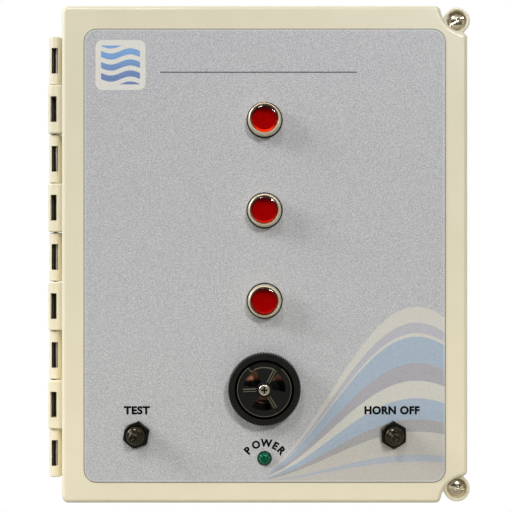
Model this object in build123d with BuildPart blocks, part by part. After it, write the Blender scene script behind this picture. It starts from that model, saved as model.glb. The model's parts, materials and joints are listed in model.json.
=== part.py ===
from build123d import *

import os
from math import atan2, cos, degrees, hypot, radians, sin

os.makedirs("parts", exist_ok=True)

# A wall-mounted alarm panel: a moulded case with a hinged door that carries three lamps, a horn with a
# turning shutter, a power light and two push buttons under rubber boots.
# Every length is in millimetres and every angle in degrees. X runs to the right, Z up and Y into the wall,
# which is at Y = 0. A height is the distance from the wall towards the person in front of the panel.

# Angles
full_turn = 360.0
half_turn = full_turn / 2
quarter_turn = full_turn / 4

# Door shell
door_width = 236.2
door_height = 289.4
door_depth = 22.0
door_side_wall = 2.6
door_front_wall = 3.4
door_corner_radius = 4.0
door_front_rounding = 2.8
notch_radius = 15.75
notch_rounding = 3.4
least_rounding = 0.8
rim_gap = 0.5
overrun = 1.0

# Sealing channel in the door rim, the gasket in it and the tongue of the base
channel_width = 3.6
channel_depth = 6.8
channel_rib = 1.8
tongue_width = 1.8
tongue_height = 4.0
tongue_inset = 3.3
gasket_side_clearance = 0.1
gasket_to_tongue = 0.3

# Ears that take the door screws, each with a pocket for the head
ear_inset_x = 5.0
ear_inset_z = 6.9
ear_rim = 1.9
ear_rim_rounding_share = 0.42
ear_seat_height = 10.0
ear_seat_thickness = 2.0
ear_pocket_depth = 4.0
ear_neck_inset = 0.2

# Base tub with its flange
base_depth = 95.0
base_wall = 3.2
base_floor = 3.2
base_corner_radius = 9.0
base_back_rounding = 1.6
base_draft = 1.7
flange_width = 5.0
flange_thickness = 5.0
lobe_depth = 12.0

# Hinge at the left edge
hinge_offset = 8.1
hinge_end_inset = 12.4
hinge_centre_z = -1.4
knuckle_count = 9
knuckle_radius = 3.9
knuckle_gap = 0.4
knuckle_rounding = 0.9
door_knuckle_rise = 2.8
knuckle_slot_width = 3.8
knuckle_slot_height = 15.4
pin_radius = 1.25
pin_end_chamfer = 0.3
pin_seat_clearance = 0.02
running_clearance = 0.06

# Door screws with their captive washers and brass inserts
screw_core_radius = 1.95
screw_head_radius = 4.9
screw_head_height = 3.1
screw_head_edge = 0.9
screw_head_clearance = 0.9
screw_slot_width = 1.4
screw_slot_depth = 1.6
screw_engagement = 5.5
screw_hole_clearance = 0.6
top_slot_angle = 30.0
bottom_slot_angle = -8.0
thread_clearance = 0.5
washer_radius = 4.0
washer_thickness = 0.8
washer_seat_gap = 0.3
washer_side_clearance = 0.4
insert_radius = 3.6
insert_length = 9.0

# Wall fixing and the bosses of the back panel
wall_hole_radius = 3.5
wall_hole_inset_x = 38.1
wall_hole_inset_z = 18.7
wall_boss_radius = 7.0
wall_boss_height = 2.0
panel_boss_radius = 4.6
panel_boss_height = 7.8
panel_boss_inset_x = 30.1
panel_boss_inset_z = 44.7
panel_insert_radius = 2.7
panel_insert_length = 6.5

# Printed overlay on the door
label_margin_x = 13.1
label_margin_z = 13.05
label_centre_z = -0.8
label_radius = 7.5
label_thickness = 0.25
label_hole_clearance = 0.4

# Places of the fittings, as shares of the door's height above its centre and of its width to the right
lamp_top_share = 0.26883
lamp_pitch_share = 0.18106
horn_height_share = -0.26745
power_height_share = -0.40843
button_height_share = -0.36109
test_width_share = -0.31372
horn_off_width_share = 0.31583
board_height_share = 0.1244
transformer_height_share = -0.24188
earth_height_share = -0.29026

# Lamps
lamp_x = 0.0
lamp_count = 3
lamp_barrel_radius = 7.9
lamp_barrel_wall = 1.5
lamp_length_behind = 30.0
lamp_cup_depth = 12.0
lamp_gasket_radius = 10.1
lamp_gasket_thickness = 0.8
lamp_bezel_radius = 9.75
lamp_bezel_height = 8.6
lamp_bezel_taper = 0.6
lamp_bezel_rounding = 0.45
lamp_bezel_lip = 0.35
lamp_lens_thickness = 1.8
lamp_lens_edge = 0.6
lamp_lens_bevel = 1.2
lamp_lens_level = 5.8
lamp_nut_across = 20.0
lamp_nut_thickness = 3.5
bulb_radius = 3.0
bulb_length = 9.0

# Horn
horn_x = 0.0
horn_neck_radius = 14.5
horn_neck_wall = 1.9
horn_neck_height = 3.6
horn_seat_width = 0.8
horn_seat_depth = 3.2
horn_body_radius = 18.0
horn_body_length = 24.0
horn_body_rounding = 2.0
horn_body_floor = 3.0
horn_gasket_radius = 19.4
horn_gasket_thickness = 1.0
horn_bezel_radius = 20.8
horn_bezel_height = 9.5
horn_bezel_chamfer = 0.7
horn_face_radius = 16.8
horn_grille_level = 7.4
horn_grille_thickness = 2.0
horn_tooth_count = 84
horn_tooth_radius = 0.42
horn_window_inner = 4.4
horn_window_outer = 12.1
horn_window_angle = 58.0
horn_window_turn = 22.0
horn_window_count = 3
horn_diaphragm_thickness = 0.5
shutter_radius = 15.5
shutter_thickness = 1.4
shutter_gap = 0.3
shutter_bead_width = 0.7
shutter_bead_height = 0.4
shutter_notch_depth = 2.9
shutter_notch_angle = 71.0
shutter_notch_turn = 86.5
shutter_ledge_reach = 1.9
shutter_ledge_thickness = 0.7
shutter_ledge_angle = 56.0
shutter_ledge_turn = 90.0
shutter_rib_width = 1.6
shutter_rib_height = 0.9
shutter_rib_lead = 40.0
shutter_hub_radius = 3.7
shutter_hub_height = 0.5
horn_screw_radius = 1.7
horn_screw_head_radius = 3.3
horn_screw_head_height = 2.1
horn_screw_recess_width = 0.8
horn_screw_recess_depth = 1.0
horn_screw_recess_span = 3.6

# Power light
power_x = 0.0
power_flange_radius = 4.2
power_flange_height = 1.1
power_dome_radius = 3.5
power_dome_height = 3.7
power_flute_count = 12
power_flute_radius = 0.4
power_barrel_radius = 2.9
power_barrel_length = 14.0
power_nut_across = 8.0
power_nut_thickness = 2.4

# Push buttons
boot_nut_across = 14.0
boot_nut_turns = {"test": 20.0, "horn_off": 30.0}
boot_nut_height = 3.6
boot_nut_chamfer = 0.8
boot_wall = 0.9
boot_neck_radius = 4.3
boot_skirt_radius = 5.3
boot_skirt_height = 5.8
boot_shoulder_radius = 3.4
boot_shoulder_height = 7.6
boot_tip_radius = 2.8
boot_tip_height = 14.6
boot_rounding = 0.7
boot_dimple_radius = 0.9
boot_dimple_depth = 0.3
bushing_radius = 3.0
bushing_height = 2.8
plunger_radius = 1.6
plunger_gap = 0.4
plunger_travel = 2.5
plunger_depth = 6.0
switch_side = 12.4
switch_start = 7.4
switch_floor = 3.0
switch_rounding = 0.8
lock_nut_across = 9.0
lock_nut_thickness = 2.0

# Blade contacts behind lamps, horn and buttons
blade_width = 2.8
blade_thickness = 0.6
blade_length = 6.5
lamp_blade_spacing = 8.0
horn_blade_spacing = 16.0
button_blade_spacing = 6.0

# Back panel and its fixings
panel_inset_x = 18.1
panel_inset_z = 32.7
panel_thickness = 1.9
panel_corner_radius = 5.0
panel_screw_radius = 1.65
panel_screw_head_radius = 3.5
panel_screw_head_height = 2.2
panel_screw_rounding_share = 0.33
panel_screw_length = 7.0
panel_hole_clearance = 0.3
insert_bore_clearance = 0.05

# Circuit board on standoffs
board_side_margin = 12.0
board_height = 110.0
board_thickness = 1.6
board_corner_radius = 2.0
board_hole_inset = 5.0
board_hole_clearance = 0.2
standoff_across = 5.5
standoff_height = 8.0
board_screw_radius = 1.25
board_screw_head_radius = 2.6
board_screw_head_height = 1.6
board_screw_length = 6.0

# Components on the circuit board, with their places as shares of its width and height from its centre
component_shares = {
    "relays": (-0.24, 0.1818),
    "controller_chip": (0.2267, -0.0545),
    "capacitors": (0.2267, 0.2545),
    "fuse": (-0.2667, -0.1091),
}
relay_width = 15.5
relay_length = 19.0
relay_height = 15.3
relay_pitch = 26.0
relay_rounding = 0.6
terminal_pitch = 7.5
terminal_ways = 8
terminal_depth = 11.0
terminal_height = 13.0
terminal_step = 4.0
terminal_wire_hole = 2.0
terminal_mouth_share = 0.33
terminal_screw_hole = 1.9
terminal_screw_depth = 4.0
terminal_inset = 9.0
terminal_gap = 6.0
chip_length = 36.0
chip_width = 7.6
chip_height = 3.4
chip_stand = 0.6
chip_notch_radius = 1.2
capacitor_radius = 6.3
capacitor_height = 20.0
capacitor_rounding = 0.8
capacitor_pitch = 16.0
fuse_radius = 2.6
fuse_cap_radius = 3.1
fuse_cap_length = 5.5
fuse_length = 20.0
holder_width = 8.0
holder_height = 5.0
holder_clip_height = 7.6
holder_clip_length = 4.6
holder_wall = 0.6

# Transformer and earth stud on the back panel
transformer_x = -38.0
transformer_width = 48.0
transformer_height = 40.0
transformer_stack = 18.0
transformer_screw_clearance = 0.5
transformer_foot_thickness = 1.6
transformer_window_height = 24.0
transformer_coil_width = 31.0
transformer_coil_height = 23.0
transformer_coil_depth = 33.0
transformer_coil_rounding = 3.0
earth_x = 74.0
earth_stud_radius = 2.5
earth_stud_height = 16.0
earth_nut_across = 8.0
earth_nut_thickness = 3.2
earth_washer_radius = 5.0
earth_washer_thickness = 1.0

# Places worked out from the sizes above
rim_level = base_depth + rim_gap
door_front = rim_level + door_depth
door_inner = door_front - door_front_wall
face = door_front + label_thickness
door_wall_total = door_side_wall + channel_width + channel_rib
hinge_length = door_height - 2 * hinge_end_inset
hinge_x = -(door_width / 2 + hinge_offset)
hinge_y = -(base_depth + rim_gap / 2)
knuckle_pitch = hinge_length / knuckle_count
knuckle_length = knuckle_pitch - knuckle_gap
ear_x = door_width / 2 - ear_inset_x
ear_z = door_height / 2 - ear_inset_z
ear_pocket_radius = screw_head_radius + screw_head_clearance
ear_radius = ear_pocket_radius + ear_rim
ear_seat = rim_level + ear_seat_height
washer_pocket_depth = ear_seat_height - ear_seat_thickness
wall_hole_spacing_x = door_width - 2 * wall_hole_inset_x
wall_hole_spacing_z = door_height - 2 * wall_hole_inset_z
panel_boss_spacing_x = door_width - 2 * panel_boss_inset_x
panel_boss_spacing_z = door_height - 2 * panel_boss_inset_z
label_width = door_width - 2 * label_margin_x
label_height = door_height - 2 * label_margin_z
lamp_places = [door_height * (lamp_top_share - lamp_pitch_share * number) for number in range(lamp_count)]
lamp_names = ("top_lamp", "middle_lamp", "bottom_lamp")
horn_z = door_height * horn_height_share
power_z = door_height * power_height_share
button_z = door_height * button_height_share
button_places = {"test": door_width * test_width_share, "horn_off": door_width * horn_off_width_share}
switch_end = plunger_depth + plunger_travel + switch_floor
panel_width = door_width - 2 * panel_inset_x
panel_height = door_height - 2 * panel_inset_z
panel_level = base_floor + panel_boss_height
panel_face = panel_level + panel_thickness
board_level = panel_face + standoff_height
board_face = board_level + board_thickness
terminal_row_length = terminal_pitch * terminal_ways
board_width = 2 * (terminal_row_length + board_side_margin) + terminal_gap
board_centre_z = door_height * board_height_share
component_places = {
    name: (board_width * share_x, board_centre_z + board_height * share_z)
    for name, (share_x, share_z) in component_shares.items()
}
transformer_z = door_height * transformer_height_share
transformer_foot_width = transformer_width + 4 * (panel_screw_head_radius + transformer_screw_clearance)
earth_z = door_height * earth_height_share


def facing(height, x=0, z=0):
    """Plane parallel to the wall that looks out of the panel."""
    return Plane(origin=(x, -height, z), x_dir=(1, 0, 0), z_dir=(0, -1, 0))


def outward(x=0, z=0):
    """Axis that stands out of the wall."""
    return Axis((x, 0, z), (0, -1, 0))


def half_section(points, height, x=0, z=0):
    """Closed section of a turned piece, from points of radius and height above a level."""
    with BuildSketch(Plane(origin=(x, -height, z), x_dir=(1, 0, 0), z_dir=(0, 0, -1))) as section:
        with BuildLine():
            Polyline(*points, close=True)
        make_face()
    return section.sketch


def disc(radius, height, x=0, z=0):
    """Round face at a height."""
    with BuildSketch(facing(height, x, z)) as flat:
        Circle(radius)
    return flat.sketch


def ring(outer, inner, height, x=0, z=0):
    """Face between two circles at a height."""
    with BuildSketch(facing(height, x, z)) as flat:
        Circle(outer)
        Circle(inner, mode=Mode.SUBTRACT)
    return flat.sketch


def hexagon(across, bore, height, x=0, z=0, turn=0):
    """Face of a nut: a hexagon given across its flats, with a round bore if it has one."""
    with BuildSketch(facing(height, x, z)) as flat:
        RegularPolygon(across / 2, 6, major_radius=False, rotation=turn)
        if bore > 0:
            Circle(bore, mode=Mode.SUBTRACT)
    return flat.sketch


def block(width, length, height, x=0, z=0, corner=0):
    """Rectangular face at a height, with rounded corners where a radius is given."""
    with BuildSketch(facing(height, x, z)) as flat:
        if corner > 0:
            RectangleRounded(width, length, corner)
        else:
            Rectangle(width, length)
    return flat.sketch


def sector(inner, outer, middle, angle, height, x=0, z=0):
    """Face between two radii and two rays, centred on the ray at the middle angle."""
    start, end = radians(middle - angle / 2), radians(middle + angle / 2)
    with BuildSketch(facing(height, x, z)) as flat:
        with BuildLine():
            CenterArc((0, 0), outer, middle - angle / 2, angle)
            Line((outer * cos(end), outer * sin(end)), (inner * cos(end), inner * sin(end)))
            CenterArc((0, 0), inner, middle - angle / 2, angle)
            Line((inner * cos(start), inner * sin(start)), (outer * cos(start), outer * sin(start)))
        make_face()
    return flat.sketch


def door_outline(height, inset=0):
    """Door seen from the front, drawn in by an inset: its right corners are cut by an arc."""
    with BuildSketch(facing(height)) as flat:
        Rectangle(door_width - 2 * inset, door_height - 2 * inset)
        left_corners = flat.vertices().group_by(Axis.X)[0]
        fillet(left_corners, radius=max(door_corner_radius - inset, least_rounding))
        with Locations((door_width / 2, door_height / 2), (door_width / 2, -door_height / 2)):
            Circle(notch_radius + inset, mode=Mode.SUBTRACT)
        notch_reach = door_width / 2 - notch_radius - 2 * inset - overrun
        right_corners = flat.vertices().filter_by_position(Axis.X, notch_reach, door_width)
        fillet(right_corners, radius=max(notch_rounding - inset, least_rounding))
    return flat.sketch


def door_ring(height, outer_inset, inner_inset):
    """Band that runs round inside the door outline."""
    return door_outline(height, outer_inset) - door_outline(height, inner_inset)


def ear_outline(height, side):
    """Round ear with the neck that joins it to the notch: side 1 is at the top and side -1 at the bottom."""
    neck = notch_radius + door_side_wall / 4 - hypot(ear_inset_x, ear_inset_z)
    neck_width = 2 * (ear_radius - ear_neck_inset)
    lean = half_turn + side * degrees(atan2(ear_inset_z, ear_inset_x))
    with BuildSketch(facing(height, ear_x, side * ear_z)) as flat:
        Circle(ear_radius)
        Rectangle(neck, neck_width, rotation=lean, align=(Align.MIN, Align.CENTER))
    return flat.sketch


def knuckle(place, rise, web_front, web_back, reach):
    """Hinge knuckle: a barrel stretched forwards by a rise, and the web that joins it to its shell."""
    front = hinge_y - rise
    with BuildPart() as piece:
        with BuildSketch(Plane.XY.offset(place - knuckle_length / 2)):
            with Locations((hinge_x, hinge_y), (hinge_x, front)):
                Circle(knuckle_radius)
            if rise > 0:
                with Locations((hinge_x, front)):
                    Rectangle(2 * knuckle_radius, rise, align=(Align.CENTER, Align.MIN))
            with Locations((hinge_x, web_front)):
                Rectangle(reach, web_back - web_front, align=(Align.MIN, Align.MIN))
        extrude(amount=knuckle_length)
        fillet(piece.faces().filter_by(Axis.Z).edges(), radius=knuckle_rounding)
        with Locations((hinge_x, hinge_y, place)):
            Box(
                knuckle_slot_width,
                2 * knuckle_radius + rise,
                knuckle_slot_height,
                align=(Align.CENTER, Align.MAX, Align.CENTER),
                mode=Mode.SUBTRACT,
            )
    return piece.part


def knuckle_places(first):
    """Heights of every second knuckle, from the top: the base has the even steps and the door the odd."""
    top = hinge_centre_z + hinge_length / 2 - knuckle_pitch / 2
    return [top - knuckle_pitch * step for step in range(first, knuckle_count, 2)]


def drill_hinge(clearance):
    """Bore along the hinge, cut out of the part that is being made."""
    with Locations((hinge_x, hinge_y, hinge_centre_z)):
        Cylinder(pin_radius + clearance, hinge_length + overrun, mode=Mode.SUBTRACT)


def write(made, label):
    """Name a finished piece and write it to a file of its own."""
    made.part.label = label
    export_step(made.part, f"parts/{label}.step")


# Enclosure base: a drafted tub with a flange, lobes for the door screws and half of the hinge

with BuildPart() as enclosure_base:
    front_width = door_width - 2 * flange_width
    front_height = door_height - 2 * flange_width
    with BuildSketch(facing(0)):
        RectangleRounded(front_width - 2 * base_draft, front_height - 2 * base_draft, base_corner_radius)
    with BuildSketch(facing(base_depth)):
        RectangleRounded(front_width, front_height, base_corner_radius)
    loft(ruled=True)
    fillet(enclosure_base.faces().sort_by(Axis.Y)[-1].edges(), radius=base_back_rounding)
    inner_radius = base_corner_radius - base_wall
    with BuildSketch(facing(base_floor)):
        back_inset = 2 * (base_draft + base_wall)
        RectangleRounded(front_width - back_inset, front_height - back_inset, inner_radius)
    with BuildSketch(facing(base_depth)):
        RectangleRounded(front_width - 2 * base_wall, front_height - 2 * base_wall, inner_radius)
    loft(ruled=True, mode=Mode.SUBTRACT)
    extrude(door_ring(base_depth, 0, flange_width + base_wall / 2), amount=-flange_thickness)
    extrude(door_ring(base_depth, tongue_inset, tongue_inset + tongue_width), amount=tongue_height)
    for side in (1, -1):
        extrude(ear_outline(base_depth, side), amount=-lobe_depth)
        insert_hole = disc(insert_radius, base_depth, ear_x, side * ear_z)
        extrude(insert_hole, amount=-insert_length, mode=Mode.SUBTRACT)
    with BuildSketch(facing(base_floor)):
        with GridLocations(panel_boss_spacing_x, panel_boss_spacing_z, 2, 2):
            Circle(panel_boss_radius)
    extrude(amount=panel_boss_height)
    with BuildSketch(facing(panel_level)):
        with GridLocations(panel_boss_spacing_x, panel_boss_spacing_z, 2, 2):
            Circle(panel_insert_radius)
    extrude(amount=-panel_insert_length, mode=Mode.SUBTRACT)
    with BuildSketch(facing(base_floor)):
        with GridLocations(wall_hole_spacing_x, wall_hole_spacing_z, 2, 2):
            Circle(wall_boss_radius)
    extrude(amount=wall_boss_height)
    with BuildSketch(facing(0)):
        with GridLocations(wall_hole_spacing_x, wall_hole_spacing_z, 2, 2):
            Circle(wall_hole_radius)
    extrude(amount=base_floor + wall_boss_height, mode=Mode.SUBTRACT)
    for place in knuckle_places(0):
        web_reach = hinge_offset + flange_width / 2
        add(knuckle(place, 0, -base_depth, hinge_y + knuckle_radius, web_reach))
    drill_hinge(pin_seat_clearance)
write(enclosure_base, "enclosure_base")

with BuildPart() as hinge_pin:
    with Locations((hinge_x, hinge_y, hinge_centre_z)):
        Cylinder(pin_radius, hinge_length)
    chamfer(hinge_pin.edges().filter_by(GeomType.CIRCLE), length=pin_end_chamfer)
write(hinge_pin, "hinge_pin")

with BuildPart() as cover_screw_inserts:
    for side in (1, -1):
        bore = screw_core_radius + thread_clearance
        extrude(ring(insert_radius, bore, base_depth, ear_x, side * ear_z), amount=-insert_length)
write(cover_screw_inserts, "cover_screw_inserts")

with BuildPart() as panel_inserts:
    with BuildSketch(facing(panel_level)):
        with GridLocations(panel_boss_spacing_x, panel_boss_spacing_z, 2, 2):
            Circle(panel_insert_radius)
            Circle(panel_screw_radius + insert_bore_clearance, mode=Mode.SUBTRACT)
    extrude(amount=-panel_insert_length)
write(panel_inserts, "panel_inserts")

# Door: a shell with a rounded front edge, a sealing channel, two ears and the other half of the hinge

with BuildPart() as enclosure_cover:
    extrude(door_outline(rim_level), amount=door_depth)
    fillet(enclosure_cover.faces().sort_by(Axis.Y)[0].edges(), radius=door_front_rounding)
    cavity_depth = door_depth - door_front_wall
    extrude(door_outline(rim_level, door_wall_total), amount=cavity_depth, mode=Mode.SUBTRACT)
    channel = door_ring(rim_level, door_side_wall, door_side_wall + channel_width)
    extrude(channel, amount=channel_depth, mode=Mode.SUBTRACT)
    for side in (1, -1):
        with BuildPart(mode=Mode.PRIVATE) as ear:
            extrude(ear_outline(rim_level, side), amount=ear_seat_height + ear_pocket_depth)
            head_pocket = disc(ear_pocket_radius, ear_seat, ear_x, side * ear_z)
            extrude(head_pocket, amount=ear_pocket_depth, mode=Mode.SUBTRACT)
            fillet(ear.faces().sort_by(Axis.Y)[0].edges(), radius=ear_rim * ear_rim_rounding_share)
        add(ear.part)
        shank_hole = disc(screw_core_radius + screw_hole_clearance, rim_level, ear_x, side * ear_z)
        extrude(shank_hole, amount=ear_seat_height, mode=Mode.SUBTRACT)
        pocket = disc(washer_radius + washer_side_clearance, rim_level, ear_x, side * ear_z)
        extrude(pocket, amount=washer_pocket_depth, mode=Mode.SUBTRACT)
    for place in knuckle_places(1):
        web_reach = hinge_offset + door_side_wall / 2
        front = hinge_y - door_knuckle_rise - knuckle_radius
        add(knuckle(place, door_knuckle_rise, front, -rim_level, web_reach))
    drill_hinge(running_clearance)
    for place in lamp_places:
        hole = disc(lamp_barrel_radius + label_hole_clearance / 2, door_inner, lamp_x, place)
        extrude(hole, amount=door_front_wall, mode=Mode.SUBTRACT)
    hole = disc(horn_neck_radius + label_hole_clearance / 2, door_inner, horn_x, horn_z)
    extrude(hole, amount=door_front_wall, mode=Mode.SUBTRACT)
    hole = disc(power_barrel_radius + label_hole_clearance / 2, door_inner, power_x, power_z)
    extrude(hole, amount=door_front_wall, mode=Mode.SUBTRACT)
    for place in button_places.values():
        hole = disc(bushing_radius + label_hole_clearance / 2, door_inner, place, button_z)
        extrude(hole, amount=door_front_wall, mode=Mode.SUBTRACT)
write(enclosure_cover, "enclosure_cover")

with BuildPart() as cover_gasket:
    gasket_level = base_depth + tongue_height + gasket_to_tongue
    outer_inset = door_side_wall + gasket_side_clearance
    inner_inset = door_side_wall + channel_width - gasket_side_clearance
    gasket_thickness = rim_level + channel_depth - gasket_level
    extrude(door_ring(gasket_level, outer_inset, inner_inset), amount=gasket_thickness)
write(cover_gasket, "cover_gasket")

with BuildPart() as front_label:
    film = block(label_width, label_height, door_front, 0, label_centre_z, label_radius)
    extrude(film, amount=label_thickness)
    openings = [(lamp_barrel_radius, lamp_x, place) for place in lamp_places]
    openings += [(horn_neck_radius, horn_x, horn_z), (power_barrel_radius, power_x, power_z)]
    openings += [(bushing_radius, place, button_z) for place in button_places.values()]
    for radius, x, z in openings:
        opening = disc(radius + label_hole_clearance, door_front, x, z)
        extrude(opening, amount=label_thickness, mode=Mode.SUBTRACT)
write(front_label, "front_label")

# Lamps: a barrel through the door, a bulb in its cup, a flat lens, a bezel, a gasket and a nut behind

for name, z in zip(lamp_names, lamp_places):
    with BuildPart() as lamp_body:
        barrel = disc(lamp_barrel_radius, face - lamp_length_behind, lamp_x, z)
        extrude(barrel, amount=lamp_length_behind + lamp_lens_level)
        cup = disc(lamp_barrel_radius - lamp_barrel_wall, face - lamp_cup_depth, lamp_x, z)
        extrude(cup, amount=lamp_cup_depth + lamp_lens_level, mode=Mode.SUBTRACT)
    write(lamp_body, f"{name}_body")

    with BuildPart() as lamp_lens:
        section = [
            (0, 0),
            (lamp_barrel_radius, 0),
            (lamp_barrel_radius, lamp_lens_edge),
            (lamp_barrel_radius - lamp_lens_bevel, lamp_lens_thickness),
            (0, lamp_lens_thickness),
        ]
        revolve(half_section(section, face + lamp_lens_level, lamp_x, z), axis=outward(lamp_x, z))
    write(lamp_lens, f"{name}_lens")

    with BuildPart() as lamp_bezel:
        bore = lamp_barrel_radius + running_clearance
        rim = bore + lamp_bezel_lip
        section = [
            (bore, lamp_gasket_thickness),
            (lamp_bezel_radius, lamp_gasket_thickness),
            (lamp_bezel_radius - lamp_bezel_taper, lamp_bezel_height),
            (rim, lamp_bezel_height),
            (bore, lamp_lens_level + lamp_lens_thickness),
        ]
        revolve(half_section(section, face, lamp_x, z), axis=outward(lamp_x, z))
        front_edges = lamp_bezel.edges().filter_by(GeomType.CIRCLE).group_by(Axis.Y)[0]
        fillet(front_edges.sort_by(SortBy.LENGTH)[-1], radius=lamp_bezel_rounding)
    write(lamp_bezel, f"{name}_bezel")

with BuildPart() as lamp_gaskets:
    for z in lamp_places:
        band = ring(lamp_gasket_radius, lamp_barrel_radius + running_clearance, face, lamp_x, z)
        extrude(band, amount=lamp_gasket_thickness)
write(lamp_gaskets, "lamp_gaskets")

with BuildPart() as lamp_nuts:
    for z in lamp_places:
        nut = hexagon(lamp_nut_across, lamp_barrel_radius + running_clearance, door_inner, lamp_x, z)
        extrude(nut, amount=-lamp_nut_thickness)
write(lamp_nuts, "lamp_nuts")

with BuildPart() as lamp_bulbs:
    for z in lamp_places:
        extrude(disc(bulb_radius, face - lamp_cup_depth, lamp_x, z), amount=bulb_length - bulb_radius)
        with Locations((lamp_x, -(face - lamp_cup_depth + bulb_length - bulb_radius), z)):
            Sphere(bulb_radius)
write(lamp_bulbs, "lamp_bulbs")

with BuildPart() as lamp_terminals:
    for z in lamp_places:
        for side in (1, -1):
            x = lamp_x + side * lamp_blade_spacing / 2
            blade = block(blade_thickness, blade_width, face - lamp_length_behind, x, z)
            extrude(blade, amount=-blade_length)
write(lamp_terminals, "lamp_terminals")

# Horn: a body behind the door, a bezel screwed to its neck from the front and a shutter that turns

window_spacing = full_turn / horn_window_count
window_turns = [horn_window_turn + window_spacing * number for number in range(horn_window_count)]


def horn_sector(inner, outer, middle, angle, above_face):
    """Sector round the horn's centre, at a height above the face of the overlay."""
    return sector(inner, outer, middle, angle, face + above_face, horn_x, horn_z)


with BuildPart() as horn_body:
    extrude(disc(horn_body_radius, door_inner - horn_body_length, horn_x, horn_z), amount=horn_body_length)
    fillet(horn_body.faces().sort_by(Axis.Y)[-1].edges(), radius=horn_body_rounding)
    neck_length = face + horn_neck_height - door_inner
    extrude(disc(horn_neck_radius, door_inner, horn_x, horn_z), amount=neck_length)
    chamber_floor = door_inner - horn_body_length + horn_body_floor
    chamber = disc(horn_neck_radius - horn_neck_wall, chamber_floor, horn_x, horn_z)
    extrude(chamber, amount=face + horn_neck_height - chamber_floor, mode=Mode.SUBTRACT)
    seat_radius = horn_neck_radius - horn_neck_wall + horn_seat_width
    seat_level = face + horn_neck_height - horn_seat_depth
    extrude(disc(seat_radius, seat_level, horn_x, horn_z), amount=horn_seat_depth, mode=Mode.SUBTRACT)
write(horn_body, "horn_body")

with BuildPart() as horn_gasket:
    band = ring(horn_gasket_radius, horn_neck_radius + running_clearance, face, horn_x, horn_z)
    extrude(band, amount=horn_gasket_thickness)
write(horn_gasket, "horn_gasket")

with BuildPart() as horn_diaphragm:
    diaphragm = disc(seat_radius - running_clearance, seat_level, horn_x, horn_z)
    extrude(diaphragm, amount=horn_diaphragm_thickness)
write(horn_diaphragm, "horn_diaphragm")

with BuildPart() as horn_bezel:
    bore = horn_neck_radius + running_clearance
    grille_back = horn_grille_level - horn_grille_thickness
    section = [
        (bore, horn_gasket_thickness),
        (horn_bezel_radius, horn_gasket_thickness),
        (horn_bezel_radius, horn_bezel_height - horn_bezel_chamfer),
        (horn_bezel_radius - horn_bezel_chamfer, horn_bezel_height),
        (horn_face_radius, horn_bezel_height),
        (horn_face_radius, horn_grille_level),
        (horn_screw_radius + pin_seat_clearance, horn_grille_level),
        (horn_screw_radius + pin_seat_clearance, grille_back),
        (bore, grille_back),
    ]
    revolve(half_section(section, face, horn_x, horn_z), axis=outward(horn_x, horn_z))
    with BuildSketch(facing(face + horn_gasket_thickness, horn_x, horn_z)):
        with PolarLocations(horn_bezel_radius, horn_tooth_count):
            Circle(horn_tooth_radius)
    extrude(amount=horn_bezel_height - horn_gasket_thickness, mode=Mode.SUBTRACT)
    for middle in window_turns:
        window = horn_sector(horn_window_inner, horn_window_outer, middle, horn_window_angle, grille_back)
        extrude(window, amount=horn_grille_thickness, mode=Mode.SUBTRACT)
write(horn_bezel, "horn_bezel")

with BuildPart() as horn_shutter:
    shutter_back = horn_grille_level + shutter_gap
    shutter_level = face + shutter_back
    shutter_face = shutter_level + shutter_thickness
    hub_bore = horn_screw_radius + running_clearance
    extrude(ring(shutter_radius, hub_bore, shutter_level, horn_x, horn_z), amount=shutter_thickness)
    bead = ring(shutter_radius, shutter_radius - shutter_bead_width, shutter_face, horn_x, horn_z)
    extrude(bead, amount=shutter_bead_height)
    notch_floor = shutter_radius - shutter_notch_depth
    notch_end = shutter_radius + overrun
    notch = horn_sector(notch_floor, notch_end, shutter_notch_turn, shutter_notch_angle, shutter_back)
    extrude(notch, amount=shutter_thickness + shutter_bead_height, mode=Mode.SUBTRACT)
    ledge_root = notch_floor - shutter_bead_width
    ledge_end = notch_floor + shutter_ledge_reach
    ledge = horn_sector(ledge_root, ledge_end, shutter_ledge_turn, shutter_ledge_angle, shutter_back)
    extrude(ledge, amount=shutter_ledge_thickness)
    for middle in window_turns:
        window = horn_sector(horn_window_inner, horn_window_outer, middle, horn_window_angle, shutter_back)
        extrude(window, amount=shutter_thickness, mode=Mode.SUBTRACT)
        with BuildSketch(facing(shutter_face, horn_x, horn_z)) as rib:
            Rectangle(
                horn_window_outer,
                shutter_rib_width,
                rotation=middle + shutter_rib_lead,
                align=(Align.MIN, Align.CENTER),
            )
            Circle((shutter_hub_radius + horn_screw_head_radius) / 2, mode=Mode.SUBTRACT)
        extrude(rib.sketch, amount=shutter_rib_height)
    hub = ring(shutter_hub_radius, hub_bore, shutter_face, horn_x, horn_z)
    extrude(hub, amount=shutter_hub_height)
write(horn_shutter, "horn_shutter")

with BuildPart() as horn_screw:
    head_level = shutter_face + shutter_hub_height + running_clearance
    extrude(disc(horn_screw_head_radius, head_level, horn_x, horn_z), amount=horn_screw_head_height)
    fillet(horn_screw.faces().sort_by(Axis.Y)[0].edges(), radius=horn_screw_head_height / 2)
    shank_end = face + horn_grille_level - horn_grille_thickness
    extrude(disc(horn_screw_radius, shank_end, horn_x, horn_z), amount=head_level - shank_end)
    with BuildSketch(facing(head_level + horn_screw_head_height, horn_x, horn_z)):
        Rectangle(horn_screw_recess_span, horn_screw_recess_width)
        Rectangle(horn_screw_recess_width, horn_screw_recess_span)
    extrude(amount=-horn_screw_recess_depth, mode=Mode.SUBTRACT)
write(horn_screw, "horn_screw")

with BuildPart() as horn_terminals:
    for side in (1, -1):
        x = horn_x + side * horn_blade_spacing / 2
        blade = block(blade_thickness, blade_width, door_inner - horn_body_length, x, horn_z)
        extrude(blade, amount=-blade_length)
write(horn_terminals, "horn_terminals")

# Power light: a fluted lens on a small barrel, held by a nut behind the door

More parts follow.
